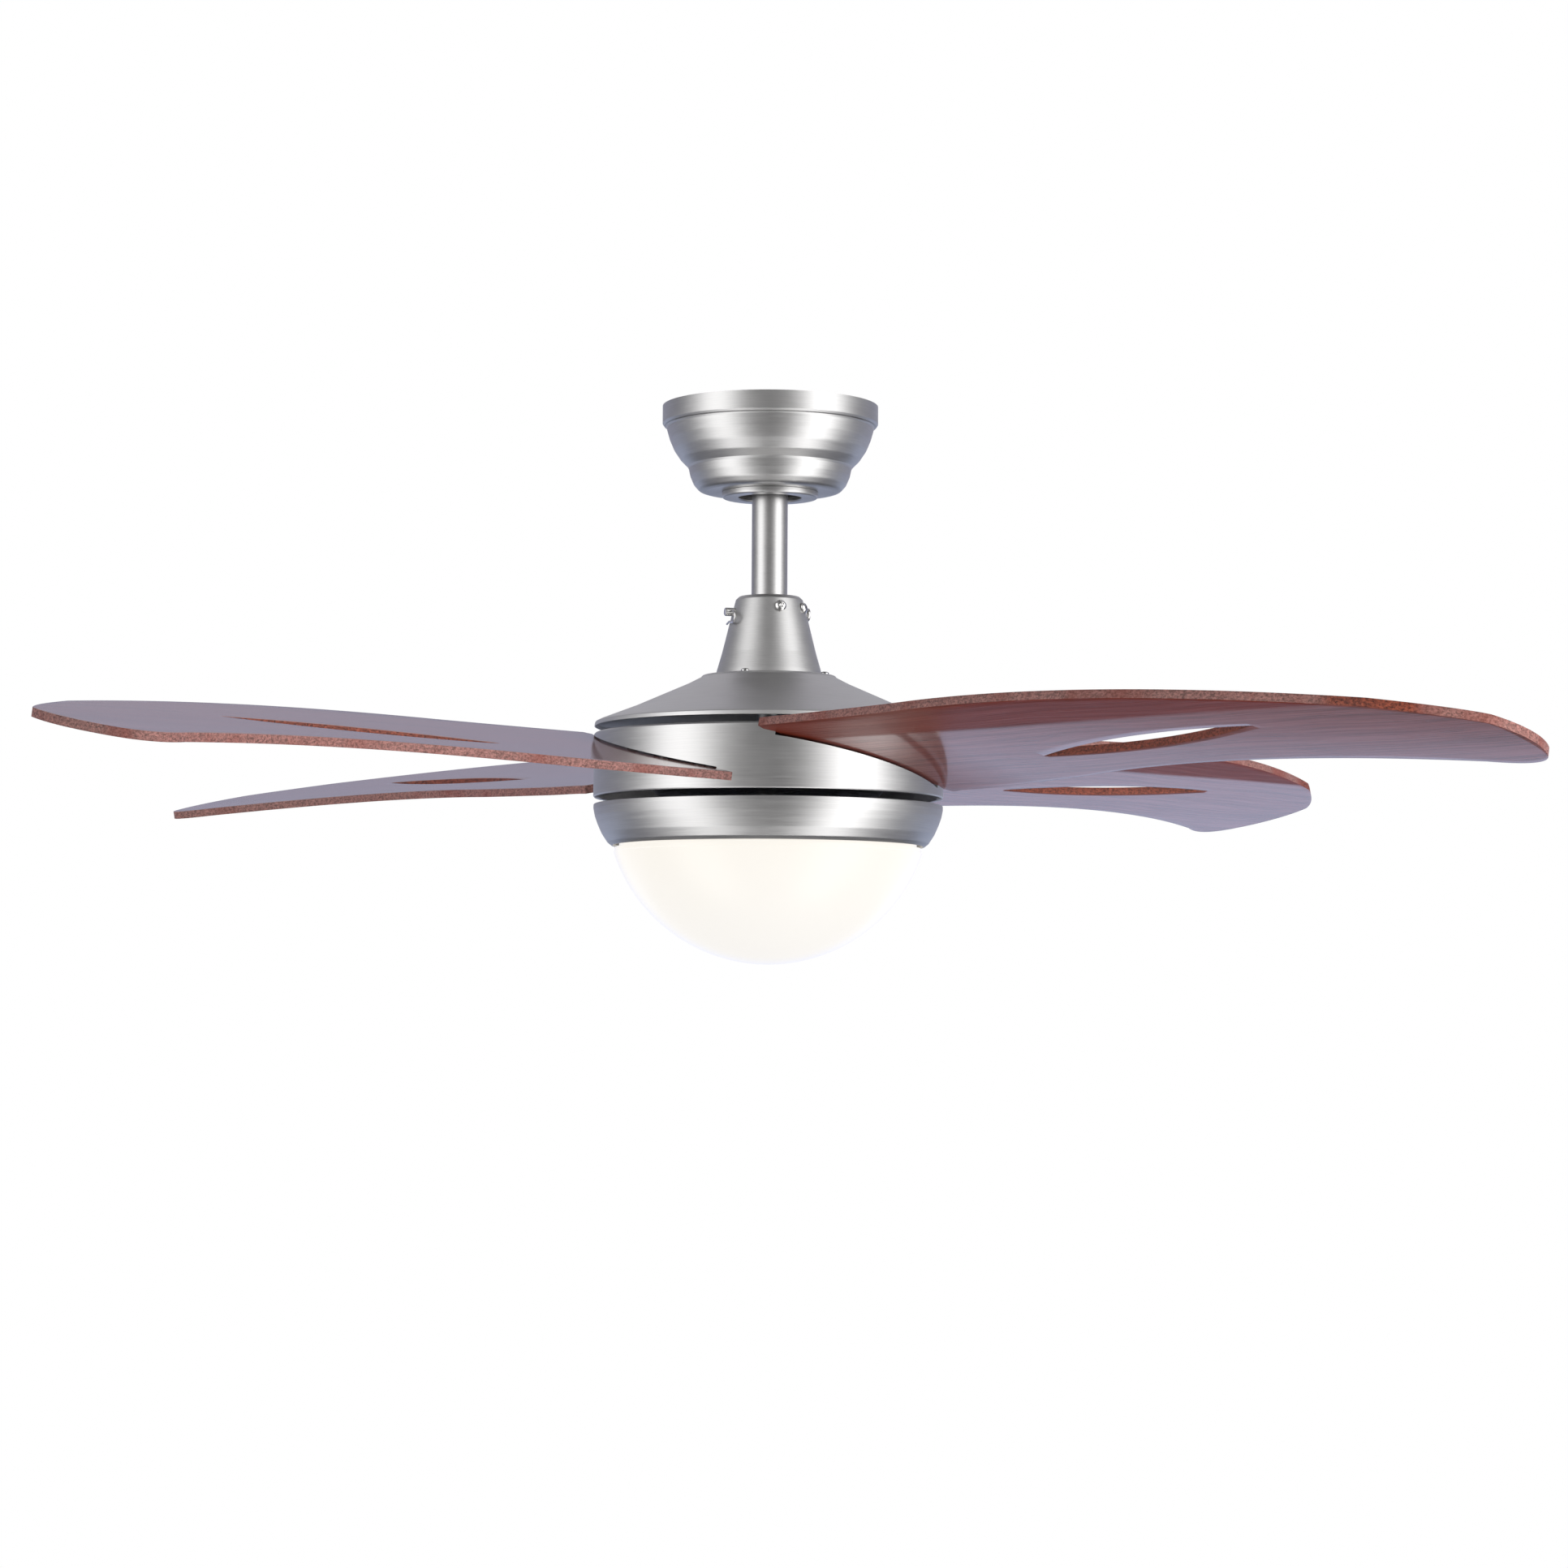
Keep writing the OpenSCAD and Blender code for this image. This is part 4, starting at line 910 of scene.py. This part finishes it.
def blade_columns():
    """Matched points down the blade: leading edge, the two sides of the middle line, trailing edge.

    The zones are the tongue inside the band, the root, the long blade and the rounded tip."""
    zones = (6, 14, 60, 14)
    tongue = 93.5
    lead_root, flare = 226.0, 258.0
    lead_end, trail_end = TIP_R - 65, TIP_R - 64
    lead = chained(
        spaced([polar(tongue, -40), root_point(0.6, -41.5)]
               + bend(root_point(3.6, -47.4), root_point(6.4, -49.6), root_point(10.3, -48.3), 6), zones[0]),
        spaced(bend(root_point(10.3, -48.3), (lead_root - 60, lead_edge(lead_root) + 5.2),
                    (lead_root, lead_edge(lead_root)), 16), zones[1]),
        edge_points(lead_edge, lead_root, lead_end, zones[2]),
        bend((lead_end, lead_edge(lead_end)), (lead_end + 47, lead_edge(lead_end) + 31),
             (tip_edge(-4), -4), zones[3]))
    trail = chained(
        spaced([polar(tongue, 26), root_point(1.9, 27.5), root_point(2.2, 31), root_point(3.7, 33.8),
                root_point(10.3, 35.2)], zones[0]),
        spaced(bend(root_point(10.3, 35.2), (HOUSING_R - 3.5, HOUSING_R - 52.3),
                    (HOUSING_R + 22.5, HOUSING_R - 51.5), 10)
               + bend((HOUSING_R + 22.5, HOUSING_R - 51.5), (flare - 26, waist_edge(flare) + 6),
                      (flare, waist_edge(flare)), 12)[1:], zones[1]),
        edge_points(waist_edge, flare, trail_end, zones[2]),
        bend((trail_end, waist_edge(trail_end)), (TIP_R - 28, 98), (tip_edge(71), 71), zones[3]))
    slope = math.tan(SLIT_TURN)
    slit_end = SLIT_U + SLIT_REACH
    stops = ([SLIT_U - SLIT_REACH - 22 + 22 * i / 5 for i in range(5)]
             + [SLIT_U - SLIT_REACH * math.cos(math.pi * i / 40) for i in range(41)]
             + [slit_end + (lead_end - slit_end) * i / 15 for i in range(1, 16)])
    start = (stops[0], SLIT_V + slope * (stops[0] - SLIT_U))
    shoulder = polar(HOUSING_R + 10.3, -7)
    middle = chained(spaced([polar(tongue, -7), shoulder], zones[0]),
                     spaced([shoulder, start], zones[1]))
    low = middle + [None] * zones[2]
    high = list(low)
    end_v = SLIT_V + slope * SLIT_REACH
    for i, u in enumerate(stops):
        k = zones[0] + zones[1] + i
        if abs(u - SLIT_U) < SLIT_REACH - 1e-6:
            a, b = slit_sides(u)
        elif u <= SLIT_U:
            a = b = SLIT_V + slope * (u - SLIT_U)
        else:
            t = (u - slit_end) / (lead_end - slit_end)
            a = b = end_v + slope * (u - slit_end) * (1 - t) + 38 * t * t
        low[k], high[k] = (u, a), (u, b)
    tail = spaced([low[-1], (tip_edge(33.5), 33.5)], zones[3])
    low = chained(low, tail)
    high = chained(high, tail)
    return lead, low, high, trail, zones


def smooth_step(t):
    """An eased share between 0 and 1."""
    t = max(0.0, min(1.0, t))
    return t * t * (3 - 2 * t)


def between(a, b, t, round_share):
    """A point between two outline points, partly along an arc round the fan's axis near the root."""
    line = (a[0] + (b[0] - a[0]) * t, a[1] + (b[1] - a[1]) * t)
    if round_share <= 0:
        return line
    ra, rb = math.hypot(*a), math.hypot(*b)
    qa, qb = math.atan2(a[1], a[0]), math.atan2(b[1], b[0])
    r, q = ra + (rb - ra) * t, qa + (qb - qa) * t
    return tuple(p + (c - p) * round_share for p, c in zip(line, (r * math.cos(q), r * math.sin(q))))


def lay_blade_grid(mesh, outline, rows):
    """Lays a plain grid out between the blade's edges, with two rows meeting along the middle line."""
    lead, low, high, trail, zones = outline
    columns, across = len(lead), 2 * rows + 2
    if len(mesh.vertices) != columns * across:
        raise RuntimeError("the blade's grid doesn't match its outline")
    for v in mesh.vertices:
        i = round((v.co.x + 1) / 2 * (columns - 1))
        j = round((v.co.y + 1) / 2 * (across - 1))
        if j <= rows:
            near, far, t = lead, low, j / rows
        else:
            near, far, t = high, trail, (j - rows - 1) / rows
        p = between(near[i], far[i], t, 1 - smooth_step((i - zones[0]) / zones[1]))
        late = max(0.0, (i - (columns - 1 - zones[3])) / zones[3])
        if late > 0:
            v_end = near[-1][1] + (far[-1][1] - near[-1][1]) * t
            chord = near[-1][0] + (far[-1][0] - near[-1][0]) * t
            p = (p[0] + late ** 2 * (tip_edge(v_end) - chord), p[1])
        v.co = (p[0] * MM, p[1] * MM, 0)


def open_slit(mesh):
    """Takes out the grid's faces inside the slit, and any that came out without area."""
    bm = bmesh.new()
    bm.from_mesh(mesh)
    gone = []
    for face in bm.faces:
        middle = face.calc_center_median() / MM
        inside = face.calc_area() < 1e-12
        if not inside and abs(middle.x - SLIT_U) < SLIT_REACH:
            a, b = slit_sides(middle.x)
            inside = a + 0.02 < middle.y < b - 0.02
        if inside:
            gone.append(face)
    bmesh.ops.delete(bm, geom=gone, context="FACES_ONLY")
    bm.to_mesh(mesh)
    bm.free()


def blade_mesh(name, thickness, rounding, materials):
    """One blade, root to tip along +X: drawn flat, slit, cambered, thickened and with rounded arrises."""
    outline, rows = blade_columns(), 12
    clear()
    bpy.ops.mesh.primitive_grid_add(x_subdivisions=len(outline[0]) - 1, y_subdivisions=2 * rows + 1, size=2)
    obj = bpy.context.object
    obj.name = obj.data.name = name
    mesh = obj.data
    lay_blade_grid(mesh, outline, rows)
    layer = mesh.uv_layers.active or mesh.uv_layers.new(name="Blade")
    for loop in mesh.loops:
        co = mesh.vertices[loop.vertex_index].co
        layer.data[loop.index].uv = (co.x, co.y)
    open_slit(mesh)
    pick(obj)
    bpy.ops.object.mode_set(mode="EDIT")
    bpy.ops.mesh.select_all(action="SELECT")
    bpy.ops.mesh.remove_doubles(threshold=1e-6)
    bpy.ops.mesh.delete_loose()
    bpy.ops.mesh.select_all(action="SELECT")
    bpy.ops.mesh.normals_make_consistent(inside=False)
    bpy.ops.object.mode_set(mode="OBJECT")
    camber = CAMBER_R * MM
    for v in mesh.vertices:
        v.co.z = camber - math.sqrt(camber ** 2 - v.co.y ** 2)
    mesh.materials.clear()
    for m in materials:
        mesh.materials.append(m)
    hair = 0.06 * MM
    modify(obj, "SOLIDIFY", thickness=thickness - hair, offset=0.0, use_even_offset=True,
           use_rim=True, material_offset_rim=1)
    modify(obj, "BEVEL", width=rounding, segments=2, limit_method="ANGLE",
           angle_limit=math.radians(50), harden_normals=False, material=-1)
    return obj


class FAN_OT_blades(bpy.types.Operator):
    """Adds four slit wooden blades, each pitched about its own length."""
    bl_idname = "fan.blades"
    bl_label = "Blades"
    bl_options = {"REGISTER", "UNDO"}

    def execute(self, context):
        look = context.scene.fan_blades
        face, rim = blade_face_material(), blade_edge_material()
        first = blade_mesh("wood_blade_1", look.thickness, look.edge_round, (face, rim))
        blades = [first] + [copied(first, f"wood_blade_{k}") for k in (2, 3, 4)]
        for k, blade in enumerate(blades):
            blade.rotation_euler = (-look.pitch, 0, math.radians(45 + 90 * k + REST_TURN))
            blade.location = (0, 0, Z_MID * MM)
            settle(blade, 32)
            blade.visible_glossy = False
            finish_piece(blade, "rotor", (f"blade_{k + 1}",))
        return {"FINISHED"}


def bowl_profile(low):
    """The bowl in section: a collar up inside the pan, a round outer wall and an inner wall 3 mm in."""
    ball, rim, glass, outer_steps, inner_steps = 118.4, 112.4, 3.0, 40, 30
    centre, z_rim = Z_BOWL_LOW + ball, low - 4.5
    collar_out, collar_in, collar_top = 108.3, 105.4, low + 10.3
    outer = []
    start = math.asin((centre - z_rim) / ball)
    for i in range(outer_steps + 1):
        a = start + (math.pi / 2 - start) * i / outer_steps
        outer.append((max(0.0, ball * math.cos(a) - 0.02) if i < outer_steps else 0.0,
                      centre - ball * math.sin(a) + 0.02, 0))
    inner = []
    thin = ball - glass
    end = math.asin((centre - z_rim) / thin)
    for i in range(inner_steps + 1):
        a = math.pi / 2 - (math.pi / 2 - end) * i / inner_steps
        inner.append((thin * math.cos(a) if i else 0.0, centre - thin * math.sin(a), 0))
    return ([(collar_out, collar_top, 0.5), (collar_out, low - 0.9, 0.4), (rim - 0.7, low - 1.1, 0.8),
             (rim - 0.7, z_rim + 0.4, 0)] + outer + inner
            + [(collar_in, z_rim, 0.5), (collar_in, collar_top, 0.5)])


class FAN_OT_light(bpy.types.Operator):
    """Adds the light pan and the lit glass bowl under it."""
    bl_idname = "fan.light"
    bl_label = "Light pan and bowl"
    bl_options = {"REGISTER", "UNDO"}

    def execute(self, context):
        w, top, low = HOUSING_R, Z_PAN_TOP, Z_PAN_LOW
        pan = turned("spun_pan", [
            (20.1, top - 6.1, 0), (w - 8, top - 6.1, 1.5), (w - 3.8, top - 0.1, 1.0),
            (w - 0.3, top - 0.1, 0.9), (w - 0.25, top - 3.4, 2), (w - 1.4, top - 9, 10),
            (w - 3.4, low + 15.6, 12), (w - 6.4, low + 8.8, 8), (w - 10.6, low + 2.4, 4),
            (w - 13.6, low + 0.1, 0.8), (w - 14.7, low + 0.1, 0.5), (w - 14.7, low + 1.6, 0.3),
            (w - 11, low + 5, 2), (w - 7.3, low + 10.8, 8), (w - 4.9, low + 16.4, 10),
            (w - 3.3, top - 9, 3), (w - 7, top - 7.4, 0.5), (20.1, top - 7.4, 0)], 240)
        finish_piece(pan, "hanging", ("light_pan",), (nickel("nickel_pan", 0.15, 0.7),))
        bowl = turned("lit_bowl", bowl_profile(low), 192)
        glass = bowl_material()
        finish_piece(bowl, "glass", (), (glass,))
        lugs = []
        for a in (40, 160, 280):
            clear()
            bpy.ops.mesh.primitive_cube_add(size=1)
            lug = bpy.context.object
            lug.scale = (2.9 * MM, 30 * MM, 2.9 * MM)
            lug.location = (109.4 * MM, 0, (low + 9.0) * MM)
            bpy.ops.object.transform_apply(location=True, rotation=True, scale=True)
            modify(lug, "BEVEL", width=0.0006, segments=2)
            lug.rotation_euler = (0, 0, math.radians(a))
            lugs.append(settle(lug))
        finish_piece(joined(lugs, "bowl_lugs"), "glass", (), (glass,))
        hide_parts("glass_bowl")
        return {"FINISHED"}


class FAN_OT_inner_finishes(bpy.types.Operator):
    """Gives every frame node the finish that its record names."""
    bl_idname = "fan.inner_finishes"
    bl_label = "Inner parts' finishes"
    bl_options = {"REGISTER", "UNDO"}

    def execute(self, context):
        looks = {
            "nickel": nickel("nickel_parts", 0.4),
            "zinc_steel": plain_metal("zinc_steel", (0.52, 0.53, 0.55), 0.34, 700.0, 0.10),
            "fastener": bpy.data.materials["fastener_bright"],
            "casing": plain_metal("casing", (0.13, 0.13, 0.135), 0.5, 500.0, 0.35),
            "liner_rubber": plain_plastic("liner_rubber", (0.018, 0.018, 0.019), 0.62),
            "ball_plastic": plain_plastic("ball_plastic", (0.03, 0.03, 0.032), 0.42),
            "white_plastic": plain_plastic("white_plastic", (0.78, 0.78, 0.75), 0.42),
            "connector_plastic": plain_plastic("connector_plastic", (0.72, 0.20, 0.03), 0.45),
            "lamination": plain_metal("lamination", (0.30, 0.31, 0.33), 0.48, 1200.0, 0.3),
            "copper": plain_metal("copper", (0.62, 0.24, 0.09), 0.36, 1500.0, 0.4),
            "cage_aluminium": plain_metal("cage_aluminium", (0.60, 0.61, 0.62), 0.42, 600.0, 0.2),
            "blade_wood": bpy.data.materials["blade_edge"],
            "reflector_white": plain_plastic("reflector_white", (0.84, 0.84, 0.82), 0.36),
            "bulb_glass": plain_plastic("bulb_glass", (0.86, 0.85, 0.80), 0.3, 900.0, 0.03),
            "opal_glass": bpy.data.materials["opal_glass"],
        }
        named = {row["node"]: row["material_slot"] for row in frame["record"]["subparts"]}
        for name, node in frame["nodes"].items():
            if named[name] not in looks:
                raise RuntimeError(f"no finish is set for {name}")
            node.data.materials.clear()
            node.data.materials.append(looks[named[name]])
        return {"FINISHED"}


# ---------- stage ----------

def softbox(name, place, target, size, power, colour=(1.0, 1.0, 1.0)):
    """An area light turned towards a point, seen neither by the camera nor in the metal."""
    clear()
    bpy.ops.object.light_add(type="AREA", location=place)
    lamp = bpy.context.object
    lamp.name = name
    lamp.data.shape = "RECTANGLE"
    lamp.data.size, lamp.data.size_y = size
    lamp.data.energy = power
    lamp.data.color = colour
    lamp.rotation_euler = (Vector(target) - Vector(place)).to_track_quat("-Z", "Y").to_euler()
    lamp.visible_camera = False
    lamp.visible_glossy = False
    return lamp


def sky(context):
    """White behind the fan, and a soft room with two tall light panels for the metal to mirror."""
    world = bpy.data.worlds.new("Studio")
    context.scene.world = world
    world.use_nodes = True
    tree = world.node_tree
    tree.nodes.clear()
    where = add(tree, "ShaderNodeTexCoord")
    split = add(tree, "ShaderNodeSeparateXYZ")
    tree.links.new(where.outputs["Generated"], split.inputs[0])
    x, y, z = split.outputs
    squares = maths(tree, "ADD", maths(tree, "MULTIPLY", x, x), maths(tree, "MULTIPLY", y, y))
    flat = maths(tree, "MAXIMUM", maths(tree, "SQRT", squares), 0.001)
    side = maths(tree, "DIVIDE", x, flat)
    ahead = maths(tree, "DIVIDE", y, flat)
    # each panel stands 59 degrees round from the front
    panel_side, panel_front = 0.857, 0.515
    toward = maths(tree, "SUBTRACT", maths(tree, "MULTIPLY", maths(tree, "ABSOLUTE", side), panel_side),
                   maths(tree, "MULTIPLY", ahead, panel_front))
    panel = add(tree, "ShaderNodeValToRGB")
    tree.links.new(ranged(tree, toward, 0.80, 1.0, 0.0, 1.0), panel.inputs[0])
    fill_ramp(panel, tuple((at, (grey, grey, grey)) for at, grey in (
        (0.0, 0.0), (0.5, 0.09), (0.8, 0.82), (0.95, 1.0))))
    tall = maths(tree, "MULTIPLY", ranged(tree, z, -0.99, -0.88, 0.0, 1.0),
                 ranged(tree, z, 0.5, 0.8, 1.0, 0.0))
    strength = maths(tree, "ADD", maths(tree, "MULTIPLY", side, 0.4), 2.6)
    glow = maths(tree, "MULTIPLY", maths(tree, "MULTIPLY", panel.outputs[0], tall), strength)
    behind = add(tree, "ShaderNodeValToRGB")
    tree.links.new(ranged(tree, z, -1.0, 1.0, 0.0, 1.0), behind.inputs[0])
    fill_ramp(behind, (
        (0.0, (0.16, 0.16, 0.17)), (0.28, (0.10, 0.10, 0.11)), (0.297, (0.15, 0.14, 0.17)),
        (0.311, (0.62, 0.72, 0.98)), (0.36, (0.62, 0.72, 1.0)), (0.43, (0.48, 0.52, 0.70)),
        (0.50, (0.36, 0.37, 0.50)), (0.62, (0.36, 0.37, 0.48)), (0.76, (0.60, 0.59, 0.64)),
        (1.0, (0.62, 0.61, 0.64))))
    room = add(tree, "ShaderNodeValToRGB")
    tree.links.new(ranged(tree, ahead, -1.0, 0.5, 0.0, 1.0), room.inputs[0])
    fill_ramp(room, ((0.0, (0.15, 0.148, 0.15)), (0.45, (0.22, 0.22, 0.23)), (0.8, (0.14, 0.14, 0.155)),
                     (1.0, (0.20, 0.20, 0.24))))
    base = mixed(tree, ranged(tree, ahead, 0.35, 0.85, 0.0, 1.0), room.outputs[0], behind.outputs[0])
    base = mixed(tree, 1.0, base, glow, "ADD")
    path = add(tree, "ShaderNodeLightPath")
    colour = mixed(tree, path.outputs["Is Camera Ray"], base, (1.0, 1.0, 1.0))
    back = add(tree, "ShaderNodeBackground")
    tree.links.new(colour, back.inputs["Color"])
    out = add(tree, "ShaderNodeOutputWorld")
    tree.links.new(back.outputs[0], out.inputs[0])


class FAN_OT_stage(bpy.types.Operator):
    """Adds the floor, the soft lights, the room and the camera."""
    bl_idname = "fan.stage"
    bl_label = "Stage"
    bl_options = {"REGISTER", "UNDO"}

    def execute(self, context):
        look = context.scene.fan_stage
        clear()
        bpy.ops.mesh.primitive_circle_add(vertices=128, radius=3.0, fill_type="NGON",
                                          location=(0, 0, -look.floor_drop))
        floor = bpy.context.object
        floor.name = "floor"
        settle(floor)
        paint = plain_plastic("floor_paint", look.floor_colour, 0.6, 300.0, 0.02)
        floor.data.materials.append(paint)
        floor.visible_glossy = False
        housing, bowl, cool_white = (0, 0, -0.27), (0, 0, -0.3), (0.93, 0.96, 1.0)
        lamps = [
            softbox("softbox_right", (2.1, -1.5, -0.25), housing, (0.9, 1.5), look.key_power),
            softbox("softbox_left", (-2.6, 0.35, -0.25), housing, (0.55, 1.5), look.key_power * 0.1),
            softbox("fill_low", (0.0, -1.2, -2.2), bowl, (2.6, 1.4), look.key_power * 0.15, cool_white),
        ]
        sky(context)
        self.camera(context)
        context.scene.view_settings.view_transform = "Standard"
        context.scene.view_settings.look = "None"
        return {"FINISHED"}

    def camera(self, context):
        """Stands the camera in front of and a little below the fan, looking slightly up."""
        stand = (0, -2.829, -0.4595)
        pitch, yaw, roll = math.radians(3.685), math.radians(0.232), math.radians(0.315)
        ahead = Vector((math.sin(yaw) * math.cos(pitch), math.cos(yaw) * math.cos(pitch), math.sin(pitch)))
        flat = Vector((math.cos(yaw), -math.sin(yaw), 0))
        above = flat.cross(ahead)
        right = flat * math.cos(roll) + above * math.sin(roll)
        up = above * math.cos(roll) - flat * math.sin(roll)
        clear()
        bpy.ops.object.camera_add(location=(0, 0, 0))
        camera = bpy.context.object
        camera.name = "Camera"
        turn = Matrix((right, up, -ahead)).transposed().to_4x4()
        camera.matrix_world = Matrix.Translation(stand) @ turn
        camera.data.sensor_width = 36
        camera.data.lens = 89.26
        camera.data.clip_end = 50
        context.scene.camera = camera


class FAN_PT_panel(bpy.types.Panel):
    """Settings and build buttons."""
    bl_idname = "FAN_PT_panel"
    bl_label = "Ceiling fan with light"
    bl_space_type = "VIEW_3D"
    bl_region_type = "UI"
    bl_category = "Ceiling fan"

    def draw(self, context):
        layout = self.layout
        for name, group in SETTINGS:
            box = layout.box()
            box.label(text=group.__doc__.split(".")[0])
            for prop in group.__annotations__:
                box.prop(getattr(context.scene, name), prop)
        for step in STEPS:
            layout.operator(step.bl_idname)


STEPS = (FAN_OT_canopy, FAN_OT_rod, FAN_OT_housing, FAN_OT_band, FAN_OT_blades, FAN_OT_light,
         FAN_OT_inner_finishes, FAN_OT_stage)
CLASSES = tuple(group for _, group in SETTINGS) + STEPS + (FAN_PT_panel,)


def register():
    """Registers the classes and gives the scene its settings."""
    for cls in CLASSES:
        bpy.utils.register_class(cls)
    for name, group in SETTINGS:
        setattr(bpy.types.Scene, name, bpy.props.PointerProperty(type=group))


def unregister():
    """Takes the settings and the classes away again."""
    for name, _ in SETTINGS:
        delattr(bpy.types.Scene, name)
    for cls in reversed(CLASSES):
        bpy.utils.unregister_class(cls)


def main():
    register()
    for step in STEPS:
        group, call = step.bl_idname.split(".")
        if getattr(getattr(bpy.ops, group), call)() != {"FINISHED"}:
            raise RuntimeError(f"{step.bl_label} did not finish")
    clear()


if __name__ == "__main__":
    main()
